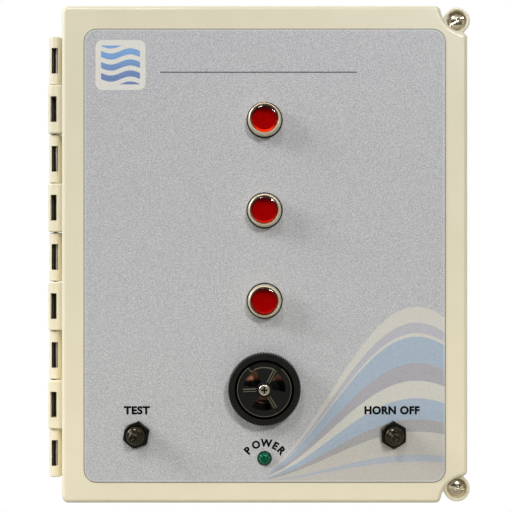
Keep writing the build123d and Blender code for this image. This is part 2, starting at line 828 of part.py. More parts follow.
with BuildPart() as power_lens:
    crown = (power_dome_height + power_flange_height) / 2
    with BuildSketch(Plane(origin=(power_x, -face, power_z), x_dir=(1, 0, 0), z_dir=(0, 0, -1))) as dome:
        with BuildLine():
            Polyline(
                (0, power_dome_height),
                (0, 0),
                (power_flange_radius, 0),
                (power_flange_radius, power_flange_height),
                (power_dome_radius, power_flange_height),
                (power_dome_radius, crown),
            )
            crown_height = power_dome_height - crown
            EllipticalCenterArc((0, crown), power_dome_radius, crown_height, arc_size=quarter_turn)
        make_face()
    revolve(dome.sketch, axis=outward(power_x, power_z))
    with BuildSketch(facing(face + power_flange_height, power_x, power_z)):
        with PolarLocations(power_dome_radius, power_flute_count):
            Circle(power_flute_radius)
    extrude(amount=power_dome_height, mode=Mode.SUBTRACT)
write(power_lens, "power_lens")

with BuildPart() as power_led:
    barrel = disc(power_barrel_radius, face - power_barrel_length, power_x, power_z)
    extrude(barrel, amount=power_barrel_length)
write(power_led, "power_led")

with BuildPart() as power_led_nut:
    nut = hexagon(power_nut_across, power_barrel_radius + running_clearance, door_inner, power_x, power_z)
    extrude(nut, amount=-power_nut_thickness)
write(power_led_nut, "power_led_nut")

# Push buttons: a switch with a plunger, and a rubber boot moulded to a hexagon nut over it

for name, x in button_places.items():
    with BuildPart() as boot_nut:
        nut = hexagon(boot_nut_across, boot_neck_radius, face, x, button_z, boot_nut_turns[name])
        extrude(nut, amount=boot_nut_height)
        with BuildPart(mode=Mode.PRIVATE) as corner_cone:
            corner = boot_nut_across / 2
            section = [
                (0, 0),
                (corner + overrun, 0),
                (corner + overrun, boot_nut_height - boot_nut_chamfer),
                (corner, boot_nut_height),
                (0, boot_nut_height),
            ]
            revolve(half_section(section, face, x, button_z), axis=outward(x, button_z))
        add(corner_cone.part, mode=Mode.INTERSECT)
    write(boot_nut, f"{name}_boot_nut")

    with BuildPart() as boot:
        outer = [
            (boot_neck_radius, 0),
            (boot_neck_radius, boot_nut_height),
            (boot_skirt_radius, boot_nut_height),
            (boot_skirt_radius, boot_skirt_height),
            (boot_shoulder_radius, boot_shoulder_height),
            (boot_tip_radius, boot_tip_height),
            (boot_dimple_radius, boot_tip_height),
            (0, boot_tip_height - boot_dimple_depth),
        ]
        inner = [
            (0, boot_tip_height - boot_wall),
            (boot_tip_radius - boot_wall, boot_tip_height - boot_wall),
            (boot_shoulder_radius - boot_wall, boot_shoulder_height - boot_wall),
            (boot_skirt_radius - boot_wall, boot_skirt_height - boot_wall),
            (boot_neck_radius - boot_wall, boot_nut_height - boot_wall),
            (boot_neck_radius - boot_wall, 0),
        ]
        revolve(half_section(outer + inner, face, x, button_z), axis=outward(x, button_z))
        rounded = boot.edges().filter_by(GeomType.CIRCLE).filter_by_position(
            Axis.Y, -(face + boot_tip_height), -(face + boot_shoulder_height)
        )
        outer_edges = [edge for edge in rounded if edge.radius > boot_tip_radius - boot_wall / 2]
        fillet(outer_edges, radius=boot_rounding)
    write(boot, f"{name}_boot")

    with BuildPart() as switch_body:
        switch_front = face - switch_start
        switch_length = switch_end - switch_start
        extrude(block(switch_side, switch_side, switch_front, x, button_z), amount=-switch_length)
        fillet(switch_body.edges().filter_by(Axis.Y), radius=switch_rounding)
        extrude(disc(bushing_radius, switch_front, x, button_z), amount=switch_start + bushing_height)
        well_floor = switch_front - switch_length + switch_floor
        well = disc(plunger_radius + running_clearance, well_floor, x, button_z)
        extrude(well, amount=face + bushing_height - well_floor, mode=Mode.SUBTRACT)
    write(switch_body, f"{name}_switch_body")

    with BuildPart() as plunger:
        plunger_top = boot_tip_height - boot_wall - plunger_gap
        extrude(disc(plunger_radius, face - plunger_depth, x, button_z), amount=plunger_depth + plunger_top)
        fillet(plunger.faces().sort_by(Axis.Y)[0].edges(), radius=plunger_radius / 2)
    write(plunger, f"{name}_plunger")

with BuildPart() as button_lock_nuts:
    for x in button_places.values():
        nut = hexagon(lock_nut_across, bushing_radius + running_clearance, door_inner, x, button_z)
        extrude(nut, amount=-lock_nut_thickness)
write(button_lock_nuts, "button_lock_nuts")

with BuildPart() as button_terminals:
    for x in button_places.values():
        for side in (1, -1):
            blade_x = x + side * button_blade_spacing / 2
            blade = block(blade_thickness, blade_width, face - switch_end, blade_x, button_z)
            extrude(blade, amount=-blade_length)
write(button_terminals, "button_terminals")

# Door screws: a slotted dome head on each ear, and a captive washer in the pocket behind it

for name, side, slot_angle in (("top", 1, top_slot_angle), ("bottom", -1, bottom_slot_angle)):
    with BuildPart() as cover_screw:
        z = side * ear_z
        with BuildSketch(Plane(origin=(ear_x, -ear_seat, z), x_dir=(1, 0, 0), z_dir=(0, 0, -1))) as dome:
            with BuildLine():
                crown = screw_head_height - screw_head_edge
                side_points = [(0, 0), (screw_head_radius, 0), (screw_head_radius, screw_head_edge)]
                Polyline((0, screw_head_height), *side_points)
                EllipticalCenterArc((0, screw_head_edge), screw_head_radius, crown, arc_size=quarter_turn)
            make_face()
        revolve(dome.sketch, axis=outward(ear_x, z))
        tip = base_depth - screw_engagement
        extrude(disc(screw_core_radius, tip, ear_x, z), amount=ear_seat - tip)
        with BuildSketch(facing(ear_seat + screw_head_height, ear_x, z)):
            Rectangle(2 * (screw_head_radius + overrun), screw_slot_width, rotation=slot_angle)
        extrude(amount=-screw_slot_depth, mode=Mode.SUBTRACT)
    write(cover_screw, f"{name}_cover_screw")

    with BuildPart() as screw_washer:
        bore = screw_core_radius + running_clearance
        washer_level = rim_level + washer_seat_gap
        extrude(ring(washer_radius, bore, washer_level, ear_x, side * ear_z), amount=washer_thickness)
    write(screw_washer, f"{name}_screw_washer")

# Back panel with what is fixed to it

transformer_screw_x = (transformer_width + transformer_foot_width) / 4
panel_screw_places = [
    (x * panel_boss_spacing_x / 2, z * panel_boss_spacing_z / 2) for x in (1, -1) for z in (1, -1)
]
transformer_screw_places = [
    (transformer_x + side * transformer_screw_x, transformer_z) for side in (1, -1)
]
board_hole_x = board_width / 2 - board_hole_inset
board_hole_z = board_height / 2 - board_hole_inset
board_hole_places = [
    (x * board_hole_x, board_centre_z + z * board_hole_z) for x in (1, -1) for z in (1, -1)
]

with BuildPart() as back_panel:
    extrude(block(panel_width, panel_height, panel_level, 0, 0, panel_corner_radius), amount=panel_thickness)
    with BuildSketch(facing(panel_level)):
        with Locations(*panel_screw_places):
            Circle(panel_screw_radius + panel_hole_clearance)
        with Locations(*transformer_screw_places):
            Circle(panel_screw_radius)
    extrude(amount=panel_thickness, mode=Mode.SUBTRACT)
write(back_panel, "back_panel")

with BuildPart() as panel_screws:
    for screw_x, screw_z in panel_screw_places:
        head = disc(panel_screw_head_radius, panel_face, screw_x, screw_z)
        extrude(head, amount=panel_screw_head_height)
        extrude(disc(panel_screw_radius, panel_face, screw_x, screw_z), amount=-panel_screw_length)
    foot_face = panel_face + transformer_foot_thickness
    for screw_x, screw_z in transformer_screw_places:
        head = disc(panel_screw_head_radius, foot_face, screw_x, screw_z)
        extrude(head, amount=panel_screw_head_height)
        extrude(disc(panel_screw_radius, foot_face, screw_x, screw_z), amount=-panel_screw_length)
    head_rounding = panel_screw_head_height * panel_screw_rounding_share
    fillet(panel_screws.faces().group_by(Axis.Y)[0].edges(), radius=head_rounding)
write(panel_screws, "panel_screws")

with BuildPart() as board_standoffs:
    for place_x, place_z in board_hole_places:
        pillar = hexagon(standoff_across, board_screw_radius, panel_face, place_x, place_z)
        extrude(pillar, amount=standoff_height)
write(board_standoffs, "board_standoffs")

with BuildPart() as board_screws:
    for place_x, place_z in board_hole_places:
        head = disc(board_screw_head_radius, board_face, place_x, place_z)
        extrude(head, amount=board_screw_head_height)
        extrude(disc(board_screw_radius, board_face, place_x, place_z), amount=-board_screw_length)
write(board_screws, "board_screws")

with BuildPart() as circuit_board:
    extrude(
        block(board_width, board_height, board_level, 0, board_centre_z, board_corner_radius),
        amount=board_thickness,
    )
    with BuildSketch(facing(board_level)):
        with Locations(*board_hole_places):
            Circle(board_screw_radius + board_hole_clearance)
    extrude(amount=board_thickness, mode=Mode.SUBTRACT)
write(circuit_board, "circuit_board")

# Components on the circuit board

with BuildPart() as relays:
    relay_x, relay_z = component_places["relays"]
    for step in (-1, 0, 1):
        case = block(relay_width, relay_length, board_face, relay_x + step * relay_pitch, relay_z)
        extrude(case, amount=relay_height)
    fillet(relays.edges().filter_by(Axis.Y), radius=relay_rounding)
    fillet(relays.faces().group_by(Axis.Y)[0].edges(), radius=relay_rounding)
write(relays, "relays")

with BuildPart() as terminal_blocks:
    row_z = board_centre_z - board_height / 2 + terminal_inset
    for side in (1, -1):
        row_x = side * (terminal_row_length + terminal_gap) / 2
        extrude(block(terminal_row_length, terminal_depth, board_face, row_x, row_z), amount=terminal_height)
        step_z = row_z - (terminal_depth - terminal_step) / 2
        step = block(terminal_row_length, terminal_step, board_face + terminal_height, row_x, step_z)
        extrude(step, amount=-terminal_step, mode=Mode.SUBTRACT)
        with BuildSketch(facing(board_face + terminal_height, row_x, row_z + terminal_step / 2)):
            with GridLocations(terminal_pitch, terminal_pitch, terminal_ways, 1):
                Circle(terminal_screw_hole)
        extrude(amount=-terminal_screw_depth, mode=Mode.SUBTRACT)
        mouth_level = board_face + terminal_height * terminal_mouth_share
        mouth_plane = Plane(
            origin=(row_x, -mouth_level, row_z - terminal_depth / 2),
            x_dir=(1, 0, 0),
            z_dir=(0, 0, 1),
        )
        with BuildSketch(mouth_plane):
            with GridLocations(terminal_pitch, terminal_pitch, terminal_ways, 1):
                Rectangle(2 * terminal_wire_hole, 2 * terminal_wire_hole)
        extrude(amount=terminal_depth / 2, mode=Mode.SUBTRACT)
write(terminal_blocks, "terminal_blocks")

with BuildPart() as controller_chip:
    chip_x, chip_z = component_places["controller_chip"]
    chip_top = board_face + chip_stand + chip_height
    package = block(chip_length, chip_width, chip_top, chip_x, chip_z)
    extrude(package, amount=-chip_height - chip_stand)
    notch = disc(chip_notch_radius, chip_top, chip_x - chip_length / 2, chip_z)
    extrude(notch, amount=-chip_height / 2, mode=Mode.SUBTRACT)
write(controller_chip, "controller_chip")

with BuildPart() as capacitors:
    pair_x, pair_z = component_places["capacitors"]
    for side in (1, -1):
        can = disc(capacitor_radius, board_face, pair_x + side * capacitor_pitch / 2, pair_z)
        extrude(can, amount=capacitor_height)
    fillet(capacitors.faces().group_by(Axis.Y)[0].edges(), radius=capacitor_rounding)
write(capacitors, "capacitors")

fuse_x, fuse_z = component_places["fuse"]
fuse_level = board_face + holder_height
fuse_start = Plane(
    origin=(fuse_x - fuse_length / 2, -fuse_level, fuse_z), x_dir=(0, 0, 1), z_dir=(1, 0, 0)
)

with BuildPart() as fuse:
    with BuildSketch(fuse_start):
        Circle(fuse_radius)
    extrude(amount=fuse_length)
    with BuildSketch(fuse_start, fuse_start.offset(fuse_length - fuse_cap_length)):
        Circle(fuse_cap_radius)
    extrude(amount=fuse_cap_length)
write(fuse, "fuse")

with BuildPart() as fuse_holder:
    for side in (1, -1):
        clip_x = fuse_x + side * (fuse_length - fuse_cap_length) / 2
        clip = block(holder_clip_length, holder_width, board_face, clip_x, fuse_z)
        extrude(clip, amount=holder_clip_height)
    with BuildSketch(fuse_start.offset(-overrun)):
        Circle(fuse_cap_radius)
        with Locations((0, fuse_cap_radius)):
            Rectangle(2 * fuse_cap_radius - 2 * holder_wall, 2 * fuse_cap_radius)
    extrude(amount=fuse_length + 2 * overrun, mode=Mode.SUBTRACT)
write(fuse_holder, "fuse_holder")

# Transformer and earth stud on the back panel

with BuildPart() as transformer_core:
    foot = block(transformer_foot_width, transformer_height / 2, panel_face, transformer_x, transformer_z)
    extrude(foot, amount=transformer_foot_thickness)
    core_level = panel_face + transformer_foot_thickness + (transformer_coil_depth - transformer_stack) / 2
    stack = block(transformer_width, transformer_height, panel_face, transformer_x, transformer_z)
    extrude(stack, amount=core_level + transformer_stack - panel_face)
    coil_room = block(
        transformer_coil_width, transformer_window_height, panel_face, transformer_x, transformer_z
    )
    room_height = transformer_coil_depth + 2 * overrun + transformer_foot_thickness
    extrude(coil_room, amount=room_height, mode=Mode.SUBTRACT)
    for screw_x, screw_z in transformer_screw_places:
        hole = disc(panel_screw_radius, panel_face, screw_x, screw_z)
        extrude(hole, amount=transformer_foot_thickness, mode=Mode.SUBTRACT)
write(transformer_core, "transformer_core")

with BuildPart() as transformer_coil:
    coil = block(transformer_coil_width, transformer_coil_height, panel_face, transformer_x, transformer_z)
    extrude(coil, amount=transformer_coil_depth)
    fillet(transformer_coil.faces().sort_by(Axis.Y)[0].edges(), radius=transformer_coil_rounding)
write(transformer_coil, "transformer_coil")

with BuildPart() as earth_stud:
    extrude(disc(earth_stud_radius, panel_face, earth_x, earth_z), amount=earth_stud_height)
    extrude(disc(earth_washer_radius, panel_face, earth_x, earth_z), amount=earth_washer_thickness)
    nut_level = panel_face + earth_washer_thickness
    extrude(hexagon(earth_nut_across, 0, nut_level, earth_x, earth_z), amount=earth_nut_thickness)
write(earth_stud, "earth_stud")
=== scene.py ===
# %% [markdown]
# An alarm panel hangs on a wall: a moulded case with a hinged door, three red lamps, a horn, a power
# light and two booted push buttons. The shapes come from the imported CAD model, which is loaded as a fixed
# frame. This file gives every piece its finish and swaps some pieces for finer ones. The frame could be
# modelled again by hand, but then nothing would keep the two models in step.

# %% Load the frame
import json
from math import cos, pi, radians, sin

import bmesh
import bpy
import numpy as np
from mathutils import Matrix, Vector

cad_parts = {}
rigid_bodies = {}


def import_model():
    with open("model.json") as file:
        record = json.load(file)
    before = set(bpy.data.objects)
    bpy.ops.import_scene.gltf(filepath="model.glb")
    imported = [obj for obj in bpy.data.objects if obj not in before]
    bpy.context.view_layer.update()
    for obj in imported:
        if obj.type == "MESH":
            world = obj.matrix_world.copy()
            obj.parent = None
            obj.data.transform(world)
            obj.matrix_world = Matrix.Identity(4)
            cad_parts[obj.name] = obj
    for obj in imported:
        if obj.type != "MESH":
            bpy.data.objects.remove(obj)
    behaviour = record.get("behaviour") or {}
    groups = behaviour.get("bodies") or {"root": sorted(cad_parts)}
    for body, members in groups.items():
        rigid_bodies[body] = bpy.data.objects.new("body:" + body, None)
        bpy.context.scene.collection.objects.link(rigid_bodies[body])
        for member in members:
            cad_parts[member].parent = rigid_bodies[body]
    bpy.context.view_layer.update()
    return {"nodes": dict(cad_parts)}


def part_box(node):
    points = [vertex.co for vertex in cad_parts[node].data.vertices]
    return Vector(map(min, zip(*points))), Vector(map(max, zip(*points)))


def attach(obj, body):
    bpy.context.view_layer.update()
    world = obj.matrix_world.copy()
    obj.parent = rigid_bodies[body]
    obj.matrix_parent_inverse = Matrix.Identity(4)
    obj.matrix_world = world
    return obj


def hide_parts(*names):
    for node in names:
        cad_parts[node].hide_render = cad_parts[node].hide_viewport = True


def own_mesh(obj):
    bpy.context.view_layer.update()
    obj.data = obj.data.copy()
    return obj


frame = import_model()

print("nodes in the frame:", len(frame["nodes"]))

# %% [markdown]
# Sizes are read off the frame where it has them, because a copied number would be wrong after the next
# change of the CAD. Heights are counted from the printed face of the door, towards the viewer.

# %% Places read from the frame
mm = 0.001


def centre(node):
    """Middle of a CAD node seen from the front: its X and Z."""
    low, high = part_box(node)
    return (low.x + high.x) / 2, (low.z + high.z) / 2


face = -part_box("front_label")[0].y
label_low, label_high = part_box("front_label")
lamps = {name: centre(f"{name}_lamp_lens") for name in ("top", "middle", "bottom")}
horn = centre("horn_diaphragm")
power = centre("power_led")
buttons = {name: centre(f"{name}_boot") for name in ("test", "horn_off")}
print("face of the door at", round(face / mm, 2), "mm from the wall")

# %% [markdown]
# The camera stands straight in front, a little right of the middle and below it. A long lens far away and
# a short lens nearby can frame the same door, but only one distance gives the lean of the tall pieces, such
# as the boots. A small lens shift puts the door back in the middle without turning the camera.

# %% Camera
view_distance = 560 * mm
view_width = 297 * mm
eye_x, eye_z = 9.0 * mm, -5.0 * mm
middle_x, middle_z = -5.0 * mm, -1.0 * mm
sensor = 36.0

camera_data = bpy.data.cameras.new("camera")
camera_data.sensor_width = sensor
camera_data.lens = sensor * view_distance / view_width
camera_data.shift_x = (middle_x - eye_x) / view_width
camera_data.shift_y = (middle_z - eye_z) / view_width
camera = bpy.data.objects.new("camera", camera_data)
camera.location = (eye_x, -(face + view_distance), eye_z)
camera.rotation_euler = (pi / 2, 0, 0)
bpy.context.scene.collection.objects.link(camera)
bpy.context.scene.camera = camera
bpy.context.scene.view_settings.view_transform = "Standard"
print("lens", round(camera_data.lens, 1), "mm")

# %% [markdown]
# Shader nodes can be linked one by one, but a formula soon becomes a page of links. Here one small class
# wraps a socket, so that sums and products of sockets are written as Python and add their Math nodes.

# %% Shader maths as Python
class Hand:
    """A socket of a node tree, or only the tree. Sums with a socket add Math nodes."""

    def __init__(self, tree, socket=None):
        self.tree = tree
        self.socket = socket

    def node(self, kind, settings=None, sockets=None, output=0):
        """Add a node of a kind, set it up, then give its sockets their values or links."""
        made = self.tree.nodes.new(kind)
        for name, value in (settings or {}).items():
            setattr(made, name, value)
        for name, value in (sockets or {}).items():
            if isinstance(value, Hand):
                self.tree.links.new(value.socket, made.inputs[name])
            else:
                made.inputs[name].default_value = value
        return Hand(self.tree, made.outputs[output] if made.outputs else None)

    def math(self, operation, *values):
        """A Math node over this socket and others."""
        sockets = dict(enumerate((self, *values)))
        return self.node("ShaderNodeMath", {"operation": operation}, sockets)

    def __add__(self, other):
        return self.math("ADD", other)

    def __radd__(self, other):
        return self.math("ADD", other)

    def __sub__(self, other):
        return self.math("SUBTRACT", other)

    def __rsub__(self, other):
        return self.math("MULTIPLY_ADD", -1.0, other)

    def __mul__(self, other):
        return self.math("MULTIPLY", other)

    def __rmul__(self, other):
        return self.math("MULTIPLY", other)

    def __truediv__(self, other):
        return self.math("DIVIDE", other)

    def __pow__(self, other):
        return self.math("POWER", other)

    def __abs__(self):
        return self.math("ABSOLUTE")

    def __lt__(self, other):
        return self.math("LESS_THAN", other)

    def __gt__(self, other):
        return self.math("GREATER_THAN", other)


print("a socket knows + - * / ** < > and abs")

# %% [markdown]
# Most finishes are a material with one Principled shader at its end. Its colours could be typed as light,
# but a screen gives steps from 0 to 255, so they are written as those steps and turned to light.

# %% Colours and finishes
def tone(red, green, blue):
    """Colour given in the 0 to 255 steps of a screen, as the linear light that shaders use."""
    steps = np.array([red, green, blue]) / 255
    linear = np.where(steps <= 0.04045, steps / 12.92, ((steps + 0.055) / 1.055) ** 2.4)
    return (*linear.tolist(), 1.0)


def new_finish(name):
    """An empty material with the hand that builds it."""
    material = bpy.data.materials.new(name)
    material.use_nodes = True
    material.node_tree.nodes.clear()
    return material, Hand(material.node_tree)


def close(material, hand, sockets):
    """End a material with a Principled shader."""
    shader = hand.node("ShaderNodeBsdfPrincipled", None, sockets)
    hand.node("ShaderNodeOutputMaterial", None, {"Surface": shader})
    return material


print("mid grey as light:", round(tone(128, 128, 128)[0], 3))

# %% [markdown]
# A flat colour looks like a drawing, because a real surface changes a little from place to place. A painted
# picture could carry that. Here noise and smooth steps on the place in metres do, at any distance.

# %% Patterns
def place(hand, axis=None):
    """Place on the object in metres: the whole vector, or one axis of it."""
    here = hand.node("ShaderNodeTexCoord", output="Object")
    if axis is None:
        return here
    return hand.node("ShaderNodeSeparateXYZ", None, {"Vector": here}, axis)


def grain(hand, scale, detail=3.0, stretch=None):
    """Noise with a number of bumps for each metre."""
    here = place(hand)
    if stretch:
        here = hand.node("ShaderNodeMapping", None, {"Vector": here, "Scale": stretch})
    sockets = {"Vector": here, "Scale": scale, "Detail": detail}
    return hand.node("ShaderNodeTexNoise", None, sockets, "Fac")


def blend(hand, share, below, above):
    """Mix of two colours by a share from 0 to 1."""
    sockets = {0: share, 6: below, 7: above}
    return hand.node("ShaderNodeMix", {"data_type": "RGBA"}, sockets, 2)


def bump(hand, height, distance, strength=1.0):
    """Normal that leans with a height."""
    sockets = {"Height": height, "Distance": distance, "Strength": strength}
    return hand.node("ShaderNodeBump", None, sockets)


def limits(hand, value, low, high):
    """Smooth step from 0 at the low value to 1 at the high one."""
    settings = {"interpolation_type": "SMOOTHSTEP"}
    sockets = {"Value": value, "From Min": low, "From Max": high}
    return hand.node("ShaderNodeMapRange", settings, sockets)


print("a pattern's length of a tenth of a millimetre is", 0.1 * mm)

# %% [markdown]
# A CAD node comes as loose triangles with a crease at each one, so a round edge would show its facets.
# Shading by hand-set normals is one cure. Here a copy of the node has its points merged, is shaded
# smooth, keeps its real corners sharp, and lets its large faces lead the normals, so flat faces look flat.

# %% Merged copies of CAD nodes
merge_grid = 0.001 * mm
sharp_corner, blunt_corner = 35.0, 85.0


def finish_mesh(name, mesh, body, finish, corner=sharp_corner, edge=0.0):
    """Object from a mesh: smooth, but sharp where faces meet at more than the corner angle in degrees.
    An edge in mm rounds its edges instead."""
    mesh.shade_smooth()
    mesh.set_sharp_from_angle(angle=radians(corner))
    mesh.materials.clear()
    mesh.materials.append(finish)
    made = bpy.data.objects.new(name, mesh)
    bpy.context.scene.collection.objects.link(made)
    if edge:
        bevel = made.modifiers.new("rounded edges", "BEVEL")
        bevel.width = edge * mm
        bevel.segments = 2
        bevel.angle_limit = radians(sharp_corner)
    weigh = made.modifiers.new("flat faces lead", "WEIGHTED_NORMAL")
    weigh.keep_sharp = True
    weigh.weight = 80
    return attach(made, body)


def merged(node):
    """Points that round to the same step of a grid become one, and triangles follow them."""
    source = frame["nodes"][node].data
    flat = np.empty(len(source.vertices) * 3)
    source.vertices.foreach_get("co", flat)
    corners = np.empty(len(source.loops), int)
    source.loops.foreach_get("vertex_index", corners)
    keys = np.round(flat.reshape(-1, 3) / merge_grid).astype(np.int64)
    points, where = np.unique(keys, axis=0, return_inverse=True)
    faces = where.ravel()[corners].reshape(-1, 3)
    first, second, third = faces.T
    whole = (first != second) & (second != third) & (third != first)
    mesh = bpy.data.meshes.new(node)
    mesh.from_pydata((points * merge_grid).tolist(), [], faces[whole].tolist())
    mesh.validate()
    return mesh


def dress(finish, slot, *nodes, edge=0.0):
    """Swap CAD nodes for merged copies with a finish. If an edge in mm is given, their edges are rounded."""
    for node in nodes:
        body = frame["nodes"][node].parent.name.removeprefix("body:")
        corner = blunt_corner if edge else sharp_corner
        made = finish_mesh(node + "_fine", merged(node), body, finish, corner, edge)
        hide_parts(node)


print("loose points of the door:", len(frame["nodes"]["enclosure_cover"].data.vertices))

# %% [markdown]
# Most fittings on the door are turned pieces. A screw modifier could turn a curve, but then its edges
# are only as good as the curve. Here the outline is a short list of corners, each with a rounding, and
# numpy turns it round an axis square to the door.

# %% Turned pieces
def rounded(corners, steps=8):
    """Corners (radius, height, rounding) with each rounding as an arc that touches both its sides.
    The arc's middle lies on the line that halves the corner, at rounding / sin(half the corner)."""
    points = np.array([corner[:2] for corner in corners], float)
    outline = []
    for index, (_, _, rounding) in enumerate(corners):
        here = points[index]
        if not rounding:
            outline.append(here)
            continue
        back = points[index - 1] - here
        ahead = points[(index + 1) % len(points)] - here
        back = back / np.linalg.norm(back)
        ahead = ahead / np.linalg.norm(ahead)
        half = np.arccos(np.clip(back @ ahead, -1, 1)) / 2
        middle = here + (back + ahead) / np.linalg.norm(back + ahead) * rounding / np.sin(half)
        from_here = here + back * rounding / np.tan(half) - middle
        to_here = here + ahead * rounding / np.tan(half) - middle
        shares = np.linspace(0, 1, steps + 1)[:, None]
        turn = pi - 2 * half
        arc = (np.sin((1 - shares) * turn) * from_here + np.sin(shares * turn) * to_here) / np.sin(turn)
        outline.extend(middle + arc)
    return np.array(outline)


print("a rounded corner has", len(rounded([(0, 0, 0), (1, 0, 0.2), (1, 1, 0)])) - 2, "points")

# %% [markdown]
# Turning an outline on a lathe is a sum: each point runs round the axis at its own radius. A Spin tool does
# it too, but numpy makes all the points at once, and the grid of points gives the faces.

# %% Turning
same_point = 0.0005 * mm


def turned(name, middle, corners, around=96, closed=False):
    """Outline in mm turned round an axis: place + radius * (cos, sin) on the face, height out from it.
    A closed outline makes a ring, and an open one starts and ends on the axis."""
    outline = rounded(corners) * mm
    angles = np.linspace(0, 2 * pi, around, endpoint=False)
    radius, height = outline[:, :1], outline[:, 1:]
    across = middle[0] + radius * np.cos(angles)
    up = middle[1] + radius * np.sin(angles)
    out = -(face + height) + 0 * angles
    points = np.stack([across, out, up], axis=-1).reshape(-1, 3)
    rows = len(outline) if closed else len(outline) - 1
    row, column = np.meshgrid(np.arange(rows), np.arange(around), indexing="ij")
    below = (row + 1) % len(outline)
    beside = (column + 1) % around
    faces = np.stack(
        [row * around + column, row * around + beside, below * around + beside, below * around + column],
        axis=-1,
    ).reshape(-1, 4)
    mesh = bpy.data.meshes.new(name)
    mesh.from_pydata(points.tolist(), [], faces.tolist())
    work = bmesh.new()
    work.from_mesh(mesh)
    bmesh.ops.remove_doubles(work, verts=work.verts, dist=same_point)
    bmesh.ops.dissolve_degenerate(work, edges=work.edges, dist=same_point)
    bmesh.ops.recalc_face_normals(work, faces=work.faces)
    work.to_mesh(mesh)
    work.free()
    return mesh


print("points nearer than", same_point / mm, "mm are one")

# %% [markdown]
# The case and the door are moulded in one warm grey plastic with a satin face. Paint would show orange
# peel and plain plastic looks dead, so the finish has a fine moulded texture, slow changes of tone, a
# painted shade that greys it towards the top, and a thin coat for the sheen along its rounded edges.
# Painted shade darkens the insides of the knuckle slots round the hinge pin.

# %% Case plastic
slot_shade_reach = 3.6 * mm


def case_plastic():
    """Warm grey with slow clouds, and painted shade: greyer towards the top, dark in a ring round the hinge
    pin.
    """
    material, hand = new_finish("case_plastic")
    cloud = grain(hand, 38.0, 4.0)
    # Painted shade: greyer towards the top and paler towards the bottom, as the studio light falls.
    top_shade = limits(hand, place(hand, "Z"), label_low.z, label_high.z)
    lit_tone = blend(hand, cloud, tone(240, 229, 198), tone(249, 239, 208))
    shaded_tone = blend(hand, cloud, tone(216, 209, 182), tone(228, 221, 195))
    colour = blend(hand, top_shade, lit_tone, shaded_tone)
    pores = grain(hand, 1500.0, 2.0)
    mottle = grain(hand, 260.0, 3.0)
    colour = blend(hand, limits(hand, pores, 0.3, 0.75) * 0.16, colour, tone(236, 230, 208))
    pin_low, pin_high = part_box("hinge_pin")
    beside = place(hand, "X") - (pin_low.x + pin_high.x) / 2
    behind = place(hand, "Y") - (pin_low.y + pin_high.y) / 2
    # Painted shade inside the knuckle slots, on the left of the hinge pin.
    slot_shade = ((beside * beside + behind * behind) ** 0.5 < slot_shade_reach) * (beside < 0.5 * mm)
    sockets = {
        "Base Color": blend(hand, slot_shade * 0.95, colour, tone(36, 35, 28)),
        "Roughness": mottle * 0.12 + 0.36,
        "Normal": bump(hand, pores + mottle * 0.8, 0.00003, 0.5),
        "Coat Weight": 0.45,
        "Coat Roughness": 0.14,
    }
    return close(material, hand, sockets)


dress(case_plastic(), "case_plastic", "enclosure_base", "enclosure_cover")
# How far the painted shade in the knuckle slots reaches from the middle of the pin.
print("oil reaches", slot_shade_reach / mm, "mm from the middle of the pin")

# %% [markdown]
# The printed overlay is a polyester film with a fine velvet grain, printed from behind. Its print could
# be a picture, but a picture has pixels and a fixed size. Here masks are worked out from the place on the
# film in metres, so edges stay sharp at any distance. A distance from a rounded rectangle gives the border
# lines, and a test between two limits gives a band.

# %% Masks
def rounded_distance(hand, half_width, half_height, corner, middle):
    """Distance in metres from the edge of a rounded rectangle: negative inside it."""
    beside = abs(place(hand, "X") - middle[0]) - (half_width - corner)
    above = abs(place(hand, "Z") - middle[1]) - (half_height - corner)
    outside_x = beside.math("MAXIMUM", 0.0)
    outside_z = above.math("MAXIMUM", 0.0)
    outside = (outside_x * outside_x + outside_z * outside_z) ** 0.5
    inside = beside.math("MAXIMUM", above).math("MINIMUM", 0.0)
    return outside + inside - corner


def between(value, low, high):
    """One where a value lies between two limits, and zero elsewhere."""
    return (value > low) * (value < high)


film_width, film_height = label_high.x - label_low.x, label_high.z - label_low.z
print("film", round(film_width / mm, 1), "by", round(film_height / mm, 1), "mm")

# %% [markdown]
# At the top left the film has a small pale square with blue waves. Waves could be drawn as curves, but
# a sine added to the height bends plain stripes into waves, and the square's own distance trims them.

# %% Square of waves
badge_middle = (-83.6 * mm, 109.8 * mm)
badge_half = 14.5 * mm


def badge(hand, film):
    """Stripes of height plus a sine of the place across, cut off near the edge of a rounded square."""
    edge = rounded_distance(hand, badge_half, badge_half, 4.0 * mm, badge_middle)
    across = place(hand, "X") - badge_middle[0]
    up = place(hand, "Z") - badge_middle[1]
    wave = up - (across / (3.6 * mm)).math("SINE") * 1.5 * mm
    stripes = ((wave / (6.4 * mm) + 0.28).math("FRACT") < 0.56) * (edge < -3.2 * mm)
    blue = blend(hand, limits(hand, up, -9.0 * mm, 9.0 * mm), tone(24, 92, 168), tone(72, 148, 216))
    film = blend(hand, (edge < 0.0) * 0.9, film, tone(226, 224, 214))
    return blend(hand, stripes * 0.9, film, blue)


print("square of waves:", 2 * badge_half / mm, "mm")

# %% [markdown]
# In the lower right corner a cream hill carries ribbons of blue and grey. Each ribbon could have its own
# curve. Here they share the hill's curve, and each keeps its share of the height, so they never cross.

# %% Swell of ribbons
# Each ribbon: its lowest and highest share of the hill's height, its colour and how strongly it covers.
ribbons = (
    (0.0, 1.0, tone(216, 212, 200), 0.9),
    (0.0, 0.42, tone(196, 191, 180), 0.8),
    (0.85, 0.91, tone(172, 174, 190), 0.7),
    (0.68, 0.83, tone(150, 176, 200), 0.8),
    (0.58, 0.68, tone(158, 156, 166), 0.8),
    (0.36, 0.48, tone(152, 176, 198), 0.8),
    (0.29, 0.36, tone(148, 148, 152), 0.7),
    (0.12, 0.16, tone(166, 180, 198), 0.7),
)


